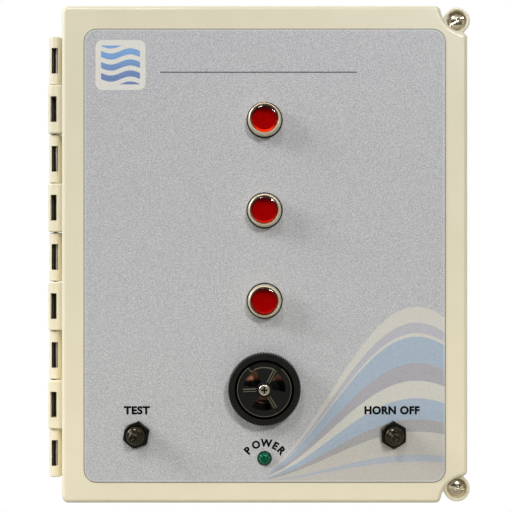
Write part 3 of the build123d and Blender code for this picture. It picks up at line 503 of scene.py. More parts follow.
def swell(hand, film):
    """Hill with a sine of the place across as its height. A ribbon lies between two shares of that height."""
    across = place(hand, "X")
    up = place(hand, "Z") - label_low.z
    hill = ((across - 38 * mm) / (32 * mm)).math("SINE") * 50 * mm + 52 * mm
    inside = across > 2 * mm
    level = up / hill
    for bottom, top, colour, share in ribbons:
        film = blend(hand, between(level, bottom, top) * inside * share, film, colour)
    return film


print("ribbons:", len(ribbons))

# %% [markdown]
# The ground of the film is a fine velvet that sparkles in grey. A smooth colour would look like paint, so a
# speckle lies under the print and, fainter, over it. A thin rule runs across the upper part.

# %% Printed film
rule_level = 105.6 * mm
corner_radius = 7.5 * mm


def label_film():
    """Velvet film: speckled ground with painted light low down, swell, badge, rule, painted highlight, border
    line.
    """
    material, hand = new_finish("label_film")
    speckle = grain(hand, 1700.0, 1.0)
    patch = grain(hand, 420.0, 2.0)
    velvet = limits(hand, speckle, 0.30, 0.70)
    # Painted light: the ground is paler towards the bottom, as the studio light falls.
    low = limits(hand, place(hand, "Z") * -1.0, label_high.z * -1.0, label_low.z * -1.0)
    dark = blend(hand, low, tone(164, 165, 169), tone(176, 176, 177))
    ground = blend(hand, velvet, dark, blend(hand, low, tone(196, 196, 199), tone(208, 208, 208)))
    film = badge(hand, swell(hand, ground))
    film = blend(hand, (1 - velvet) * 0.14, film, tone(120, 120, 126))
    film = blend(hand, velvet * 0.14, film, tone(240, 240, 240))
    middle = ((label_low.x + label_high.x) / 2, (label_low.z + label_high.z) / 2)
    edge = rounded_distance(hand, film_width / 2, film_height / 2, corner_radius, middle)
    rule = (abs(place(hand, "X") + 3.6 * mm) < 57.0 * mm) * (abs(place(hand, "Z") - rule_level) < 0.35 * mm)
    # Painted highlight: a pale line just inside the edge of the film.
    film = blend(hand, between(edge, -1.3 * mm, -0.6 * mm) * 0.35, film, tone(226, 226, 222))
    film = blend(hand, edge > -0.45 * mm, film, tone(126, 121, 112))
    film = blend(hand, rule * 0.9, film, tone(44, 52, 60))
    sockets = {
        "Base Color": film,
        "Roughness": patch * 0.15 + 0.42,
        "Normal": bump(hand, speckle, 0.00004, 0.35),
    }
    return close(material, hand, sockets)


dress(label_film(), "label_film", "front_label")
print("rule at", round(rule_level / mm, 1), "mm above the middle")

# %% [markdown]
# The metals differ in tone and polish: warm bright chrome on the bezels, stainless screws, duller zinc
# plating inside, brass inserts and tinned contacts. One function gives each its own values, because a
# metal is a colour, a roughness and the marks of the tool that cut it.

# %% Metals
def metal(name, dark, bright, rough, turning=0.0, marks=220.0):
    """Metal whose tone wanders between two colours, with fine marks."""
    material, hand = new_finish(name)
    cloud = grain(hand, marks, 4.0)
    lines = grain(hand, marks * 6, 2.0, stretch=(1.0, 1.0, 12.0))
    sockets = {
        "Base Color": blend(hand, cloud, dark, bright),
        "Metallic": 1.0,
        "Roughness": cloud * 0.10 + rough,
        "Normal": bump(hand, lines, 0.00001, turning),
    }
    return close(material, hand, sockets)


bezel_chrome = metal("bezel_chrome", tone(244, 230, 194), tone(255, 246, 220), 0.38, 0.2)
stainless = metal("stainless", tone(206, 198, 176), tone(234, 226, 206), 0.16, 0.5, 400.0)
plated_steel = metal("plated_steel", tone(150, 150, 146), tone(186, 186, 180), 0.34, 0.5, 300.0)
brass = metal("brass", tone(176, 130, 66), tone(206, 164, 92), 0.30, 0.4, 300.0)
tinned = metal("contact_metal", tone(186, 180, 160), tone(206, 200, 184), 0.32, 0.3, 300.0)
dress(stainless, "stainless", "top_cover_screw", "bottom_cover_screw", edge=0.12)
dress(stainless, "stainless", "top_screw_washer", "bottom_screw_washer")
print("metals:", bezel_chrome.name, stainless.name, plated_steel.name, brass.name, tinned.name)

# %% [markdown]
# Two steel pieces aren't one tone all over. The hinge pin has painted shade on its left side and a painted
# highlight along its right, and the horn's screw has painted shade in its cross. Each could be split between
# two materials, but a mask on the place needs no new edges in the mesh.

# %% Hinge pin and horn screw
def oiled_pin():
    """Hinge pin: painted shade on its left side, and a painted highlight along its right side."""
    material, hand = new_finish("oiled_pin")
    cloud = grain(hand, 300.0, 4.0)
    beside = place(hand, "X") - centre("hinge_pin")[0] + (cloud - 0.5) * 0.6 * mm
    # Painted highlight on the right of the pin; the rest is painted shade.
    bright = limits(hand, beside, 0.1 * mm, 0.6 * mm)
    sockets = {
        "Base Color": blend(hand, bright, tone(34, 34, 28), tone(206, 196, 178)),
        "Metallic": 0.5,
        "Roughness": cloud * 0.1 + 0.45,
        "Normal": bump(hand, cloud, 0.00001, 0.4),
    }
    return close(material, hand, sockets)


def cross_screw():
    """Horn screw: bright metal with painted shade in its cross recess."""
    material, hand = new_finish("cross_screw")
    cloud = grain(hand, 400.0, 4.0)
    across = abs(place(hand, "X") - horn[0])
    up = abs(place(hand, "Z") - horn[1])
    # Painted shade in the cross recess.
    cross = (across.math("MINIMUM", up) < 0.46 * mm) * (across.math("MAXIMUM", up) < 1.9 * mm)
    bright = blend(hand, cloud, tone(206, 198, 176), tone(234, 226, 206))
    sockets = {
        "Base Color": blend(hand, cross, bright, tone(40, 36, 28)),
        "Metallic": 1.0,
        "Roughness": cloud * 0.10 + 0.2,
        "Normal": bump(hand, cloud, 0.00001, 0.4),
    }
    return close(material, hand, sockets)


dress(oiled_pin(), "stainless", "hinge_pin")
dress(cross_screw(), "stainless", "horn_screw", edge=0.12)
dress(
    plated_steel,
    "plated_steel",
    "panel_screws",
    "board_screws",
    "lamp_nuts",
    "power_led_nut",
    "button_lock_nuts",
    "earth_stud",
)
dress(brass, "brass", "cover_screw_inserts", "panel_inserts", "board_standoffs", "fuse_holder")
dress(tinned, "contact_metal", "lamp_terminals", "horn_terminals", "button_terminals")
print("hinge pin at", round(centre("hinge_pin")[0] / mm, 1), "mm")

# %% [markdown]
# Black parts are never all alike: the horn is satin plastic, the seals are dull rubber and the boots are
# glossy rubber. A black that is only dark shows no form, so each has its own sheen and a fine relief.

# %% Blacks
def black(name, dark, bright, rough, coat, relief, shine=0.5, tint=(1.0, 1.0, 1.0, 1.0)):
    """Black plastic or rubber with a fine relief."""
    material, hand = new_finish(name)
    pores = grain(hand, 900.0, 3.0)
    wear = grain(hand, 120.0, 4.0)
    sockets = {
        "Base Color": blend(hand, wear, dark, bright),
        "Roughness": wear * 0.12 + rough,
        "Normal": bump(hand, pores, 0.00003, relief),
        "Specular IOR Level": shine,
        "Specular Tint": tint,
        "Coat Weight": coat,
        "Coat Roughness": 0.10,
    }
    return close(material, hand, sockets)


seal_rubber = black("seal_rubber", tone(5, 5, 5), tone(12, 12, 11), 0.6, 0.0, 0.6, 0.2)
boot_rubber = black("boot_rubber", tone(5, 5, 3), tone(13, 12, 7), 0.15, 0.12, 0.12, 0.6, tone(255, 236, 190))
nut_black = black("nut_black", tone(4, 4, 2), tone(10, 9, 6), 0.2, 0.0, 0.5, 0.3, tone(255, 240, 200))
inner_black = black("inner_black", tone(26, 26, 28), tone(42, 42, 44), 0.45, 0.0, 0.4)
print("blacks:", seal_rubber.name, boot_rubber.name, nut_black.name, inner_black.name)

# %% [markdown]
# The horn is satin black, with a deep groove round its shutter. Fingers turn the shutter. Its rim, its notch
# and its ribs get painted highlights along their edges; these could be found from the bend of the mesh, but
# only in a slow render. The groove gets painted shade: a plain black without any shine.

# %% Horn plastic
groove_inside, groove_outside = 15.52 * mm, 16.95 * mm


def horn_black(name, edges):
    """Horn moulding: satin black, painted shade in the groove round the shutter, painted highlights on its
    edges.
    """
    material, hand = new_finish(name)
    wear = grain(hand, 160.0, 4.0)
    pores = grain(hand, 900.0, 3.0)
    right = place(hand, "X") - horn[0]
    up = place(hand, "Z") - horn[1]
    out = (right * right + up * up) ** 0.5
    groove = between(out, groove_inside, groove_outside)
    shade = blend(hand, wear, tone(8, 8, 4), tone(14, 13, 8))
    if edges:
        # Painted highlights along the shutter's rim, notch and ribs.
        shade = blend(hand, painted_edge_highlights(hand, right, up, out), shade, tone(138, 132, 110))
    sockets = {
        "Base Color": shade,
        "Roughness": wear * 0.12 + 0.34,
        "Specular IOR Level": 0.3,
        "Normal": bump(hand, pores, 0.00003, 0.4),
    }
    satin = hand.node("ShaderNodeBsdfPrincipled", None, sockets)
    shaded = hand.node("ShaderNodeBsdfDiffuse", None, {"Color": tone(1, 1, 1)})
    # Painted shade: the groove is a black diffuse without any shine.
    both = hand.node("ShaderNodeMixShader", None, {0: groove, 1: satin, 2: shaded})
    hand.node("ShaderNodeOutputMaterial", None, {"Surface": both})
    return material


def painted_edge_highlights(hand, right, up, out):
    """Painted highlights on the shutter: its rim, the floor of its notch and both edges of each rib."""
    from_end = up - abs(right) * 1.4
    notch = (from_end > 0.0) * (out > 12.4 * mm)
    marks = between(out, 15.15 * mm, 15.5 * mm) * (1 - notch) * 0.45
    ends = between(from_end, -0.9 * mm, 0.0) * between(out, 12.5 * mm, 15.5 * mm)
    notch_highlight = notch * between(out, 12.4 * mm, 13.0 * mm) * 0.5
    marks = marks.math("MAXIMUM", notch_highlight).math("MAXIMUM", ends * 0.4)
    for turn in (62.0, 182.0, 302.0):
        along = right * cos(radians(turn)) + up * sin(radians(turn))
        beside = right * sin(radians(turn)) - up * cos(radians(turn))
        rib = between(abs(beside), 0.45 * mm, 0.95 * mm) * between(along, 4.6 * mm, 12.2 * mm)
        marks = marks.math("MAXIMUM", rib * 0.55)
    return marks


dress(horn_black("horn_black", False), "black_plastic", "horn_bezel", edge=0.12)
dress(horn_black("shutter_black", True), "black_plastic", "horn_shutter", edge=0.12)
dress(seal_rubber, "seal_rubber", "cover_gasket", "lamp_gaskets", "horn_gasket")
dress(nut_black, "black_nut", "test_boot_nut", "horn_off_boot_nut", edge=0.3)
dress(
    inner_black,
    "black_plastic",
    "horn_body",
    "top_lamp_body",
    "middle_lamp_body",
    "bottom_lamp_body",
    "test_switch_body",
    "horn_off_switch_body",
    "power_led",
    "test_plunger",
    "horn_off_plunger",
)
dress(inner_black, "chip_black", "controller_chip")
print("groove", round((groove_outside - groove_inside) / mm, 2), "mm wide")

# %% [markdown]
# The lenses are coloured plastic. Real ones are clear in their depth, which needs slow glass shading and a
# lit space behind. Here a red cup stands for the depth: its middle is a deep tone, a painted glow lights its
# lower edge where the light from above would leave, painted shade darkens its top and rings the red, and its
# own colour, emitted as painted light, keeps it red in the shade of the bezel.

# %% Red of the lamps
def lens_plastic(name, middle, radius, share, drop):
    """Red by distance from a middle lowered by a drop: painted shade at top and rim, a share of painted glow
    below.
    """
    deep, body, glow = tone(34, 6, 4), tone(148, 0, 0), tone(255, 48, 10)
    material, hand = new_finish(name)
    right = (place(hand, "X") - middle[0]) / radius
    up = (place(hand, "Z") - middle[1]) / radius
    out = (right * right + up * up) ** 0.5
    below = ((right * right) + (up + drop) ** 2.0) ** 0.5
    # Painted shade: a dark rim round the red, hanging lower by the drop.
    rim = limits(hand, below, 0.86, 0.93)
    # Painted glow at the lower edge, where the light from above would leave.
    low = limits(hand, up * -1.0, 0.35, 0.85) * limits(hand, out, 0.70, 0.88)
    # Painted shade over the top of the red.
    upper_shade = limits(hand, up, 0.35, 0.85) * 0.7
    streak = grain(hand, 320.0, 3.0)
    colour = blend(hand, streak * 0.15, body, deep)
    colour = blend(hand, upper_shade, colour, deep)
    colour = blend(hand, low * share, colour, glow)
    colour = blend(hand, rim, colour, deep)
    sockets = {
        "Base Color": colour,
        # Painted light: the lens emits its own colour, standing for light that passes through it.
        "Emission Color": colour,
        "Emission Strength": 0.55,
        "Roughness": streak * 0.06 + 0.3,
        "Specular IOR Level": 0.0,
        "Normal": bump(hand, streak, 0.00004, 0.15),
    }
    return close(material, hand, sockets)


print("red as light:", round(tone(148, 0, 0)[0], 3))

# %% [markdown]
# The power light is a green dome with facets moulded inside. Facets could be cut into a mesh behind a glass
# one, but at four millimetres they are only bright wedges, so a sine of the angle paints them.

# %% Power light
power_radius = 4.2


def green_facets():
    """Green plastic with a fan of inner facets painted as bright wedges of light, and painted shade round its
    edge.
    """
    material, hand = new_finish("green_facets")
    right = (place(hand, "X") - power[0]) / (power_radius * mm)
    up = (place(hand, "Z") - power[1]) / (power_radius * mm)
    out = (right * right + up * up) ** 0.5
    fan = ((right.math("ARCTAN2", up) * 9.0 + out * 4.0).math("SINE") * 0.5 + 0.5) ** 2.0
    ring = limits(hand, out, 0.35, 0.6) * (1 - limits(hand, out, 0.72, 0.86))
    colour = blend(hand, fan * ring * 0.6, tone(0, 74, 46), tone(40, 160, 122))
    # Painted shade round the edge of the dome.
    edge = limits(hand, out, 0.80, 0.92)
    colour = blend(hand, edge, colour, tone(3, 40, 26))
    cloud = grain(hand, 900.0, 3.0)
    sockets = {
        "Base Color": colour,
        "Roughness": cloud * 0.08 + 0.14,
        "Specular IOR Level": 0.1,
        "Coat Weight": 0.25,
        "Coat Roughness": 0.1,
        "Normal": bump(hand, fan * ring, 0.00006, 0.5),
    }
    return close(material, hand, sockets)


dome_top = (-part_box("power_lens")[0].y - face) / mm
dome_outline = [
    (0, dome_top, 0),
    (3.45, dome_top, 2.2),
    (3.5, 1.1, 0.1),
    (power_radius, 1.1, 0.3),
    (power_radius, 0.02, 0),
    (0, 0.02, 0),
]
dome = turned("power_dome", power, dome_outline)
dome = finish_mesh("power_dome", dome, "door", green_facets(), 60.0)
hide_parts("power_lens")
print("power light", round(power[0] / mm, 1), round(power[1] / mm, 1))

# %% [markdown]
# Over the red of each lamp lies a clear front. Its edge is a broad soft bend, since that bend is what
# catches the studio lamps as white points: a sharp edge would stay dark. Clear plastic could be glass, but
# here it is see-through in the middle and turns dark near the bezel, as a thick edge does, with painted
# shade that is widest at the top, under the bezel's shadow.

# %% Clear lamp fronts
lens_low, lens_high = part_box("top_lamp_lens")
lens_back = (-lens_high.y - face) / mm
lens_front = (-lens_low.y - face) / mm
bezel_front = (-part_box("top_lamp_bezel")[0].y - face) / mm
# How far the middle of the painted shade round each lamp is moved down, so that it is widest at the top.
dark_edge_drop = 0.45 * mm


def clear_front():
    """Clear plastic: the nearer a point is to the edge of its lamp, the less is seen through it: painted
    shade.
    """
    material, hand = new_finish("clear_front")
    haze = grain(hand, 300.0, 2.0)
    nearest = None
    for x, z in lamps.values():
        out = ((place(hand, "X") - x) ** 2 + (place(hand, "Z") - z + dark_edge_drop) ** 2) ** 0.5
        nearest = out if nearest is None else nearest.math("MINIMUM", out)
    sockets = {
        # A dark tone that shows where the front is less clear: painted shade near the bezel.
        "Base Color": tone(40, 12, 6),
        "Roughness": haze * 0.04 + 0.06,
        "Alpha": limits(hand, nearest, 7.0 * mm, 7.6 * mm) * 0.68 + 0.06,
        "Specular IOR Level": 0.8,
        "Coat Weight": 1.0,
        "Coat Roughness": 0.06,
        "Coat IOR": 1.9,
    }
    return close(material, hand, sockets)


clear = clear_front()
print("lamp fronts stand", round(lens_front, 2), "mm out of the film")

# %% [markdown]
# A lamp is a chromed ring round its lens, on a rubber gasket whose lip shows as a dark line. The lip is
# turned wider than the gasket, so the line is partly painted shade round the foot of the bezel. All three
# lamps are alike, so each outline is written once and turned round three axes. The upper lamps are seen more
# from below, so their painted glow at the lower edge is stronger and their red hangs lower.

# %% Lamps
cup_floor = 3.0
cup_outline = [
    (0, cup_floor, 0),
    (6.2, cup_floor, 0.4),
    (6.3, lens_back + 0.3, 0.15),
    (7.65, lens_back + 0.6, 0.1),
    (7.65, lens_back + 0.05, 0),
    (6.37, lens_back + 0.05, 0),
    (6.35, cup_floor - 0.5, 0.1),
    (0, cup_floor - 0.5, 0),
]
front_outline = [
    (0, lens_front, 0),
    (7.157, lens_front, 3.2),
    (7.9, lens_front - 0.43, 0),
    (7.9, lens_back, 0),
    (7.75, lens_back, 0),
    (7.7, lens_front - 0.7, 0.1),
    (0, lens_front - 0.3, 0),
]
bezel_outline = [
    (7.96, 0.8, 0),
    (9.75, 0.8, 0),
    (9.75, 1.6, 0.4),
    (8.8, bezel_front, 0.5),
    (8.35, bezel_front, 0.2),
    (7.96, lens_front, 0.15),
]
# The lip stands out past the gasket: a dark ring that is partly painted shade round the foot of the bezel.
lip_outline = [(9.4, 0.02, 0), (10.45, 0.02, 0), (10.45, 0.75, 0.3), (9.4, 0.75, 0)]
# Each lamp: the share of painted glow at its lower edge, and the drop of its red as a share of the radius.
look = {"top": (0.95, 0.09), "middle": (0.3, 0.05), "bottom": (0.15, 0.01)}

for name, middle in lamps.items():
    red = lens_plastic(f"{name}_red", middle, 7.9 * mm, *look[name])
    cup = turned(f"{name}_cup", middle, cup_outline)
    finish_mesh(f"{name}_lens_cup", cup, "door", red, 60.0)
    front = turned(f"{name}_front", middle, front_outline)
    front = finish_mesh(f"{name}_lens_front", front, "door", clear, 60.0)
    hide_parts(f"{name}_lamp_lens")
    ring = turned(f"{name}_bezel_fine", middle, bezel_outline, closed=True)
    ring = finish_mesh(f"{name}_bezel_fine", ring, "door", bezel_chrome, 60.0)
    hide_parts(f"{name}_lamp_bezel")
    lip = turned(f"{name}_gasket_lip", middle, lip_outline, closed=True)
    finish_mesh(f"{name}_gasket_lip", lip, "door", seal_rubber, 60.0)
print("lamps:", len(lamps))

# %% [markdown]
# A rubber boot keeps dust out of each push button. It is a thin skin with a skirt, a shoulder and a ringed
# tip, so its outline runs down the outside and up the inside. When the button goes in, the rubber folds.

# %% Boots
for name, middle in buttons.items():
    tip = (-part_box(f"{name}_boot")[0].y - face) / mm
    boot = turned(
        f"{name}_boot_fine",
        middle,
        [
            (0, tip - 0.35, 0),
            (0.6, tip - 0.35, 0.2),
            (0.9, tip, 0.15),
            (1.3, tip, 0.1),
            (1.5, tip - 0.25, 0.1),
            (1.7, tip, 0.1),
            (2.75, tip, 0.7),
            (3.3, 7.9, 1.0),
            (5.3, 6.9, 1.5),
            (5.3, 3.7, 0.3),
            (4.3, 3.7, 0.1),
            (4.3, 0.3, 0),
            (3.2, 0.3, 0),
            (3.2, 4.2, 0.2),
            (2.3, 7.9, 1.0),
            (1.85, tip - 0.9, 0.2),
            (0, tip - 0.9, 0),
        ],
    )
    boot = finish_mesh(f"{name}_boot_fine", boot, "door", boot_rubber, 70.0)
    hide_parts(f"{name}_boot")
    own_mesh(boot)
print("boots:", len(buttons))

# %% [markdown]
# The horn's diaphragm is a thin copper-toned disc, seen through the windows. Rolled copper mirrors its dark
# surroundings in one half and light in the other. A mirror would need a room round it, so both halves are
# painted reflections where the windows show them, and the disc itself is nearly dull.

# %% Diaphragm
def copper_disc():
    """Painted reflection: copper where the height above the middle of the horn says that it mirrors light,
    else dark.
    """
    material, hand = new_finish("copper_disc")
    right = place(hand, "X") - horn[0]
    up = place(hand, "Z") - horn[1]
    out = (right * right + up * up) ** 0.5
    lit = limits(hand, up, 3.6 * mm, 6.2 * mm)
    low = limits(hand, up * -1.0, 3.0 * mm, 4.2 * mm) * (1 - limits(hand, up * -1.0, 6.0 * mm, 7.4 * mm))
    # Painted highlight along the lower part of the bead.
    bead = limits(hand, out, 8.1 * mm, 8.5 * mm) * (1 - limits(hand, out, 8.7 * mm, 9.1 * mm))
    bead = bead * limits(hand, right * -1.0, -3.0 * mm, 3.0 * mm) * (up < 0.0)
    cloud = grain(hand, 300.0, 3.0)
    share = (lit + low * 0.7 + bead * 0.8).math("MINIMUM", 1.0)
    sockets = {
        "Base Color": blend(hand, share, tone(7, 5, 4), tone(234, 168, 130)),
        "Roughness": cloud * 0.1 + 0.4,
        "Specular IOR Level": 0.2,
        "Normal": bump(hand, cloud, 0.00002, 0.3),
    }
    return close(material, hand, sockets)


disc_radius = 13.34
disc_outline = [
    (0, 0.4, 0),
    (disc_radius, 0.4, 0.05),
    (disc_radius, 0.9, 0.1),
    (9.3, 0.9, 0.3),
    (8.9, 1.3, 0.3),
    (8.3, 1.3, 0.3),
    (7.9, 0.95, 0.3),
    (0, 1.3, 0),
]
disc = turned("diaphragm_fine", horn, disc_outline)
disc = finish_mesh("diaphragm_fine", disc, "door", copper_disc(), 60.0)
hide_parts("horn_diaphragm")
print("diaphragm", 2 * disc_radius, "mm across")

# %% [markdown]
# Inside the case are a painted steel panel, a circuit board and its parts. They show when the door is open.
# Bare plastic tones would do for a glance, but each gets the finish of the real thing, and no lettering.

# %% Back panel
def painted(name, dark, bright, rough, scale=500.0):
    """Powder coat or moulding with a soft orange peel."""
    material, hand = new_finish(name)
    peel = grain(hand, scale, 2.0)
    cloud = grain(hand, 30.0, 3.0)
    sockets = {
        "Base Color": blend(hand, cloud, dark, bright),
        "Roughness": peel * 0.15 + rough,
        "Normal": bump(hand, peel, 0.00005, 0.5),
    }
    return close(material, hand, sockets)


white_paint = painted("panel_paint", tone(214, 214, 208), tone(228, 228, 222), 0.4)
dress(white_paint, "panel_paint", "back_panel")
print("finish of the back panel:", white_paint.name)

# %% [markdown]
# A circuit board is green lacquer over copper runs, so the runs show only as paler lines that stand up a
# little. Real runs could be drawn one by one. Here stripes are bent by a noise that moves in steps.

# %% Circuit board
def board_laminate():
    """Green lacquer over copper runs: the runs are stripes that a stepped noise bends."""
    material, hand = new_finish("board_laminate")
    step = grain(hand, 60.0, 0.0)
    across = place(hand, "X") * 260.0 + (step * 6.0).math("ROUND")
    along = place(hand, "Z") * 220.0 + (step * 5.0).math("ROUND")
    runs = (across.math("FRACT") < 0.34).math("MAXIMUM", along.math("FRACT") < 0.22)
    part = limits(hand, grain(hand, 34.0, 1.0), 0.48, 0.52)
    copper = runs * part
    sockets = {
        "Base Color": blend(hand, copper * 0.8, tone(22, 84, 48), tone(58, 128, 70)),
        "Roughness": copper * 0.08 + 0.3,
        "Normal": bump(hand, copper, 0.00003, 0.6),
        "Coat Weight": 0.5,
        "Coat Roughness": 0.12,
    }
    return close(material, hand, sockets)


dress(board_laminate(), "board_laminate", "circuit_board")
relay_blue = painted("relay_blue", tone(24, 66, 150), tone(34, 84, 176), 0.25, 900.0)
terminal_green = painted("terminal_green", tone(28, 118, 62), tone(40, 140, 78), 0.4, 900.0)
capacitor_can = painted("capacitor_can", tone(24, 30, 58), tone(34, 42, 78), 0.22, 900.0)
coil_tape = painted("coil_tape", tone(206, 168, 66), tone(222, 186, 84), 0.35, 300.0)
dress(relay_blue, "relay_blue", "relays")
dress(terminal_green, "terminal_green", "terminal_blocks")
dress(capacitor_can, "capacitor_can", "capacitors")
dress(coil_tape, "coil_tape", "transformer_coil")
print("mouldings:", relay_blue.name, terminal_green.name, capacitor_can.name, coil_tape.name)

# %% [markdown]
# A transformer's core is a stack of thin steel sheets. Modelling each sheet would add faces that nobody
# sees, so fine lines in the tone and the relief stand for their edges.

# %% Transformer core
sheet_pitch = 0.7 * mm


def laminations(name, dark, bright, pitch):
    """Stack of thin sheets: fine lines square to the wall."""
    material, hand = new_finish(name)
    lines = (place(hand, "Y") / pitch).math("FRACT") < 0.3
    cloud = grain(hand, 200.0, 3.0)
    sockets = {
        "Base Color": blend(hand, lines * 0.6 + cloud * 0.4, bright, dark),
        "Metallic": 0.4,
        "Roughness": cloud * 0.2 + 0.45,
        "Normal": bump(hand, lines, 0.00008, 0.7),
    }
    return close(material, hand, sockets)


core_steel = laminations("core_steel", tone(38, 38, 42), tone(84, 84, 88), sheet_pitch)
dress(core_steel, "core_steel", "transformer_core")
print("sheets", round(sheet_pitch / mm, 2), "mm thick")

# %% [markdown]
# Bulbs and the fuse are glass. A mixed transparent shader is quicker, but these are small and hidden behind
# the door, so the Principled shader's own transmission is cheap enough.

# %% Glass
def clear_glass(name, tint, rough):
    """Glass of a bulb or fuse: pale, glossy and partly see-through."""
    material, hand = new_finish(name)
    haze = grain(hand, 200.0, 2.0)
    sockets = {
        "Base Color": tint,
        "Roughness": haze * 0.05 + rough,
        "Transmission Weight": 0.85,
        "IOR": 1.47,
    }
    return close(material, hand, sockets)


dress(clear_glass("bulb_glass", tone(244, 244, 238), 0.03), "bulb_glass", "lamp_bulbs")
dress(clear_glass("fuse_glass", tone(236, 240, 238), 0.04), "fuse_glass", "fuse")
print("glass on the bulbs and the fuse")

# %% [markdown]
# The legends over the buttons and round the power light are screen printed. They could be masks too, but
# letters are curves already, so text is turned into a thin mesh that lies on the film.

# %% Ink
ink, ink_hand = new_finish("ink")
dots = grain(ink_hand, 2400.0, 2.0)
close(ink, ink_hand, {
    "Base Color": blend(ink_hand, dots, tone(4, 4, 4), tone(14, 14, 14)),
    "Specular IOR Level": 0.1,
    "Roughness": dots * 0.1 + 0.6,
    "Normal": bump(ink_hand, dots, 0.00002, 0.3),
})
print("ink:", ink.name)

# %% [markdown]
# Text starts as a curve one unit high. Its size could be set on the object, but a finished piece sits at
# the origin unscaled, so the points themselves are scaled to the height and width of the print, turned and
# moved to their place.

# %% Letters
stroke_growth = 0.05
ink_gap = 0.01 * mm


def letters(name, words, height, x, z, width=None, turn=0.0):
    """Words as a thin mesh on the film, centred on a place and turned clockwise: each point is scaled from
    the middle of the text, then place + across * (cos, -sin) + up * (sin, cos) of the turn."""
    curve = bpy.data.curves.new(name, "FONT")
    curve.body = words
    curve.align_x = "CENTER"
    curve.align_y = "CENTER"
    curve.size = 1.0
    curve.space_character = 1.08
    curve.offset = stroke_growth
    curve.resolution_u = 6
    curve.extrude = 0.01
    text = bpy.data.objects.new(name + "_curve", curve)
    bpy.context.scene.collection.objects.link(text)
    bpy.context.view_layer.update()
    drawn = text.evaluated_get(bpy.context.evaluated_depsgraph_get())
    mesh = bpy.data.meshes.new_from_object(drawn)
    bpy.data.objects.remove(text)
    flat = np.empty(len(mesh.vertices) * 3)
    mesh.vertices.foreach_get("co", flat)
    flat = flat.reshape(-1, 3)
    span = flat.max(0) - flat.min(0)
    middle = (flat.max(0) + flat.min(0)) / 2
    tall = height / span[1]
    wide = width / span[0] if width else tall
    across = (flat[:, 0] - middle[0]) * wide
    up = (flat[:, 1] - middle[1]) * tall
    lean = radians(turn)
    co = np.stack(
        [
            x + across * cos(lean) + up * sin(lean),
            -face - ink_gap - (flat[:, 2] - flat[:, 2].min()) * 2 * mm,
            z - across * sin(lean) + up * cos(lean),
        ],
        axis=1,
    )
    mesh.vertices.foreach_set("co", co.ravel())
    mesh.update()
    mesh.materials.clear()
    mesh.materials.append(ink)
    made = bpy.data.objects.new(name, mesh)
    bpy.context.scene.collection.objects.link(made)
    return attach(made, "door")


cap_height = 4.9 * mm
print("letters stand", round(cap_height / mm, 2), "mm high")

# %% [markdown]
# Two legends stand straight over their buttons, and the third bends over the power light. A curve modifier
# could bend it, but placing its five letters one by one on the arc keeps each letter straight.

# %% Legends
legend_level = -90.5 * mm
test_width = 15.1 * mm
horn_off_middle, horn_off_width = 73.9 * mm, 32.0 * mm
letters("legend_test", "TEST", cap_height, buttons["test"][0], legend_level, test_width)
letters("legend_horn_off", "HORN OFF", cap_height, horn_off_middle, legend_level, horn_off_width)
arc_middle_z = power[1] - 4.4 * mm
arc_radius = 13.1 * mm
arc_turns = (-47.6, -22.4, 4.4, 29.0, 49.2)
for letter, turn in zip("POWER", arc_turns):
    lean = radians(turn)
    x = power[0] + arc_radius * sin(lean)
    z = arc_middle_z + arc_radius * cos(lean)
    letters(f"legend_power_{letter}", letter, 0.95 * cap_height, x, z, None, turn)
print("letters on the arc:", len(arc_turns))

# %% [markdown]
# The panel is lit as in a photo studio. One bright sky would be simpler, but it gives no shadows. The main
# lamp stands at the upper right and gives the short dark shadows under each fitting, and one at the upper
# left gives the second shadow. A broad window light brushes the left edges, and a faint low lamp lifts the
# undersides.

# %% Lamps of the studio
def studio_light(name, direction, distance, size, watts):
    """Square lamp turned to the panel: its place is the direction, made one metre long, times a distance."""
    data = bpy.data.lights.new(name, "AREA")
    data.energy = watts
    data.size = size
    light = bpy.data.objects.new(name, data)
    aim = np.array(direction) / np.linalg.norm(direction)
    light.location = aim * distance
    bpy.context.scene.collection.objects.link(light)
    bpy.context.view_layer.update()
    light.rotation_mode = "QUATERNION"
    light.rotation_quaternion = light.location.to_track_quat("Z", "Y")


studio_light("key_light", (0.31, -1.0, 0.47), 3.0, 0.35, 30.5)
studio_light("fill_light", (-0.24, -1.0, 0.86), 3.0, 0.42, 16.0)
studio_light("window_light", (-1.0, -0.35, 0.55), 3.0, 1.20, 58.0)
studio_light("low_light", (0.45, -1.0, -0.75), 0.95, 0.80, 0.35)
print("studio lamps:", len(bpy.data.lights))

# %% [markdown]
# The world is white to the camera, through glass, and where a shiny edge mirrors what lies behind the panel.
# Its light could be white all round too, but black rubber would turn grey, so it lights the panel weakly, and
# least from in front.

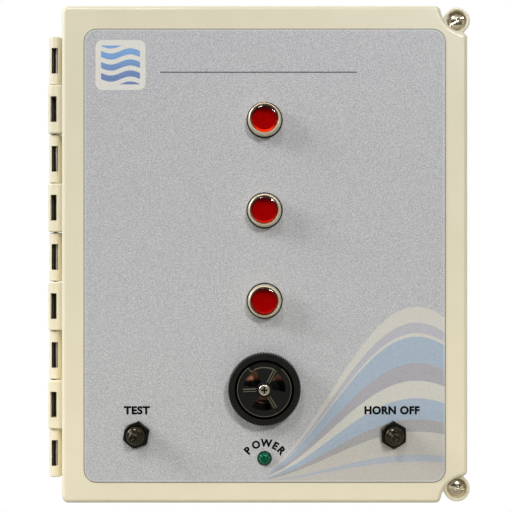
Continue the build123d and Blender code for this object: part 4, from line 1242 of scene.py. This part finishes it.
# %% World
world = bpy.data.worlds.new("studio")
world.use_nodes = True
world.node_tree.nodes.clear()
bpy.context.scene.world = world
sky = Hand(world.node_tree)
toward = sky.node("ShaderNodeTexCoord", output="Generated")
depth = sky.node("ShaderNodeSeparateXYZ", None, {"Vector": toward}, "Y")
height = sky.node("ShaderNodeSeparateXYZ", None, {"Vector": toward}, "Z")
around = limits(sky, depth + height * 0.5, -0.85, -0.1) * 0.38 + 0.03
seen = sky.node("ShaderNodeLightPath", output="Is Camera Ray")
through = sky.node("ShaderNodeLightPath", output="Is Transmission Ray")
mirrored = sky.node("ShaderNodeLightPath", output="Is Glossy Ray") * limits(sky, depth, -0.1, 0.3)
level = seen.math("MAXIMUM", through).math("MAXIMUM", mirrored).math("MAXIMUM", around)
white = (1.0, 1.0, 1.0, 1.0)
backdrop = sky.node("ShaderNodeBackground", None, {"Color": white, "Strength": level})
sky.node("ShaderNodeOutputWorld", None, {"Surface": backdrop})
print("nodes of the world:", len(world.node_tree.nodes))

# %% [markdown]
# A floor far below the panel keeps the studio whole in other views. A wall would hide the back of the
# panel from a camera behind it, so there is none. The floor looks white to the camera and pale to light.

# %% Floor
floor_level = -0.40
floor_reach = 2.0
floor_back = 0.6
floor_mesh = bpy.data.meshes.new("floor")
corners = [
    (-floor_reach, -floor_reach),
    (floor_reach, -floor_reach),
    (floor_reach, floor_back),
    (-floor_reach, floor_back),
]
floor_mesh.from_pydata([(x, y, floor_level) for x, y in corners], [], [(0, 1, 2, 3)])
floor = bpy.data.objects.new("floor", floor_mesh)
bpy.context.scene.collection.objects.link(floor)
pale, pale_hand = new_finish("pale_floor")
matt = pale_hand.node("ShaderNodeBsdfDiffuse", None, {"Color": tone(168, 166, 160)})
glow = pale_hand.node("ShaderNodeEmission", None, {"Color": white, "Strength": 1.0})
camera_ray = pale_hand.node("ShaderNodeLightPath", output="Is Camera Ray")
both = pale_hand.node("ShaderNodeMixShader", None, {0: camera_ray * 0.85, 1: matt, 2: glow})
pale_hand.node("ShaderNodeOutputMaterial", None, {"Surface": both})
floor_mesh.materials.append(pale)
print("floor", round(-floor_level / mm), "mm below the middle of the panel")
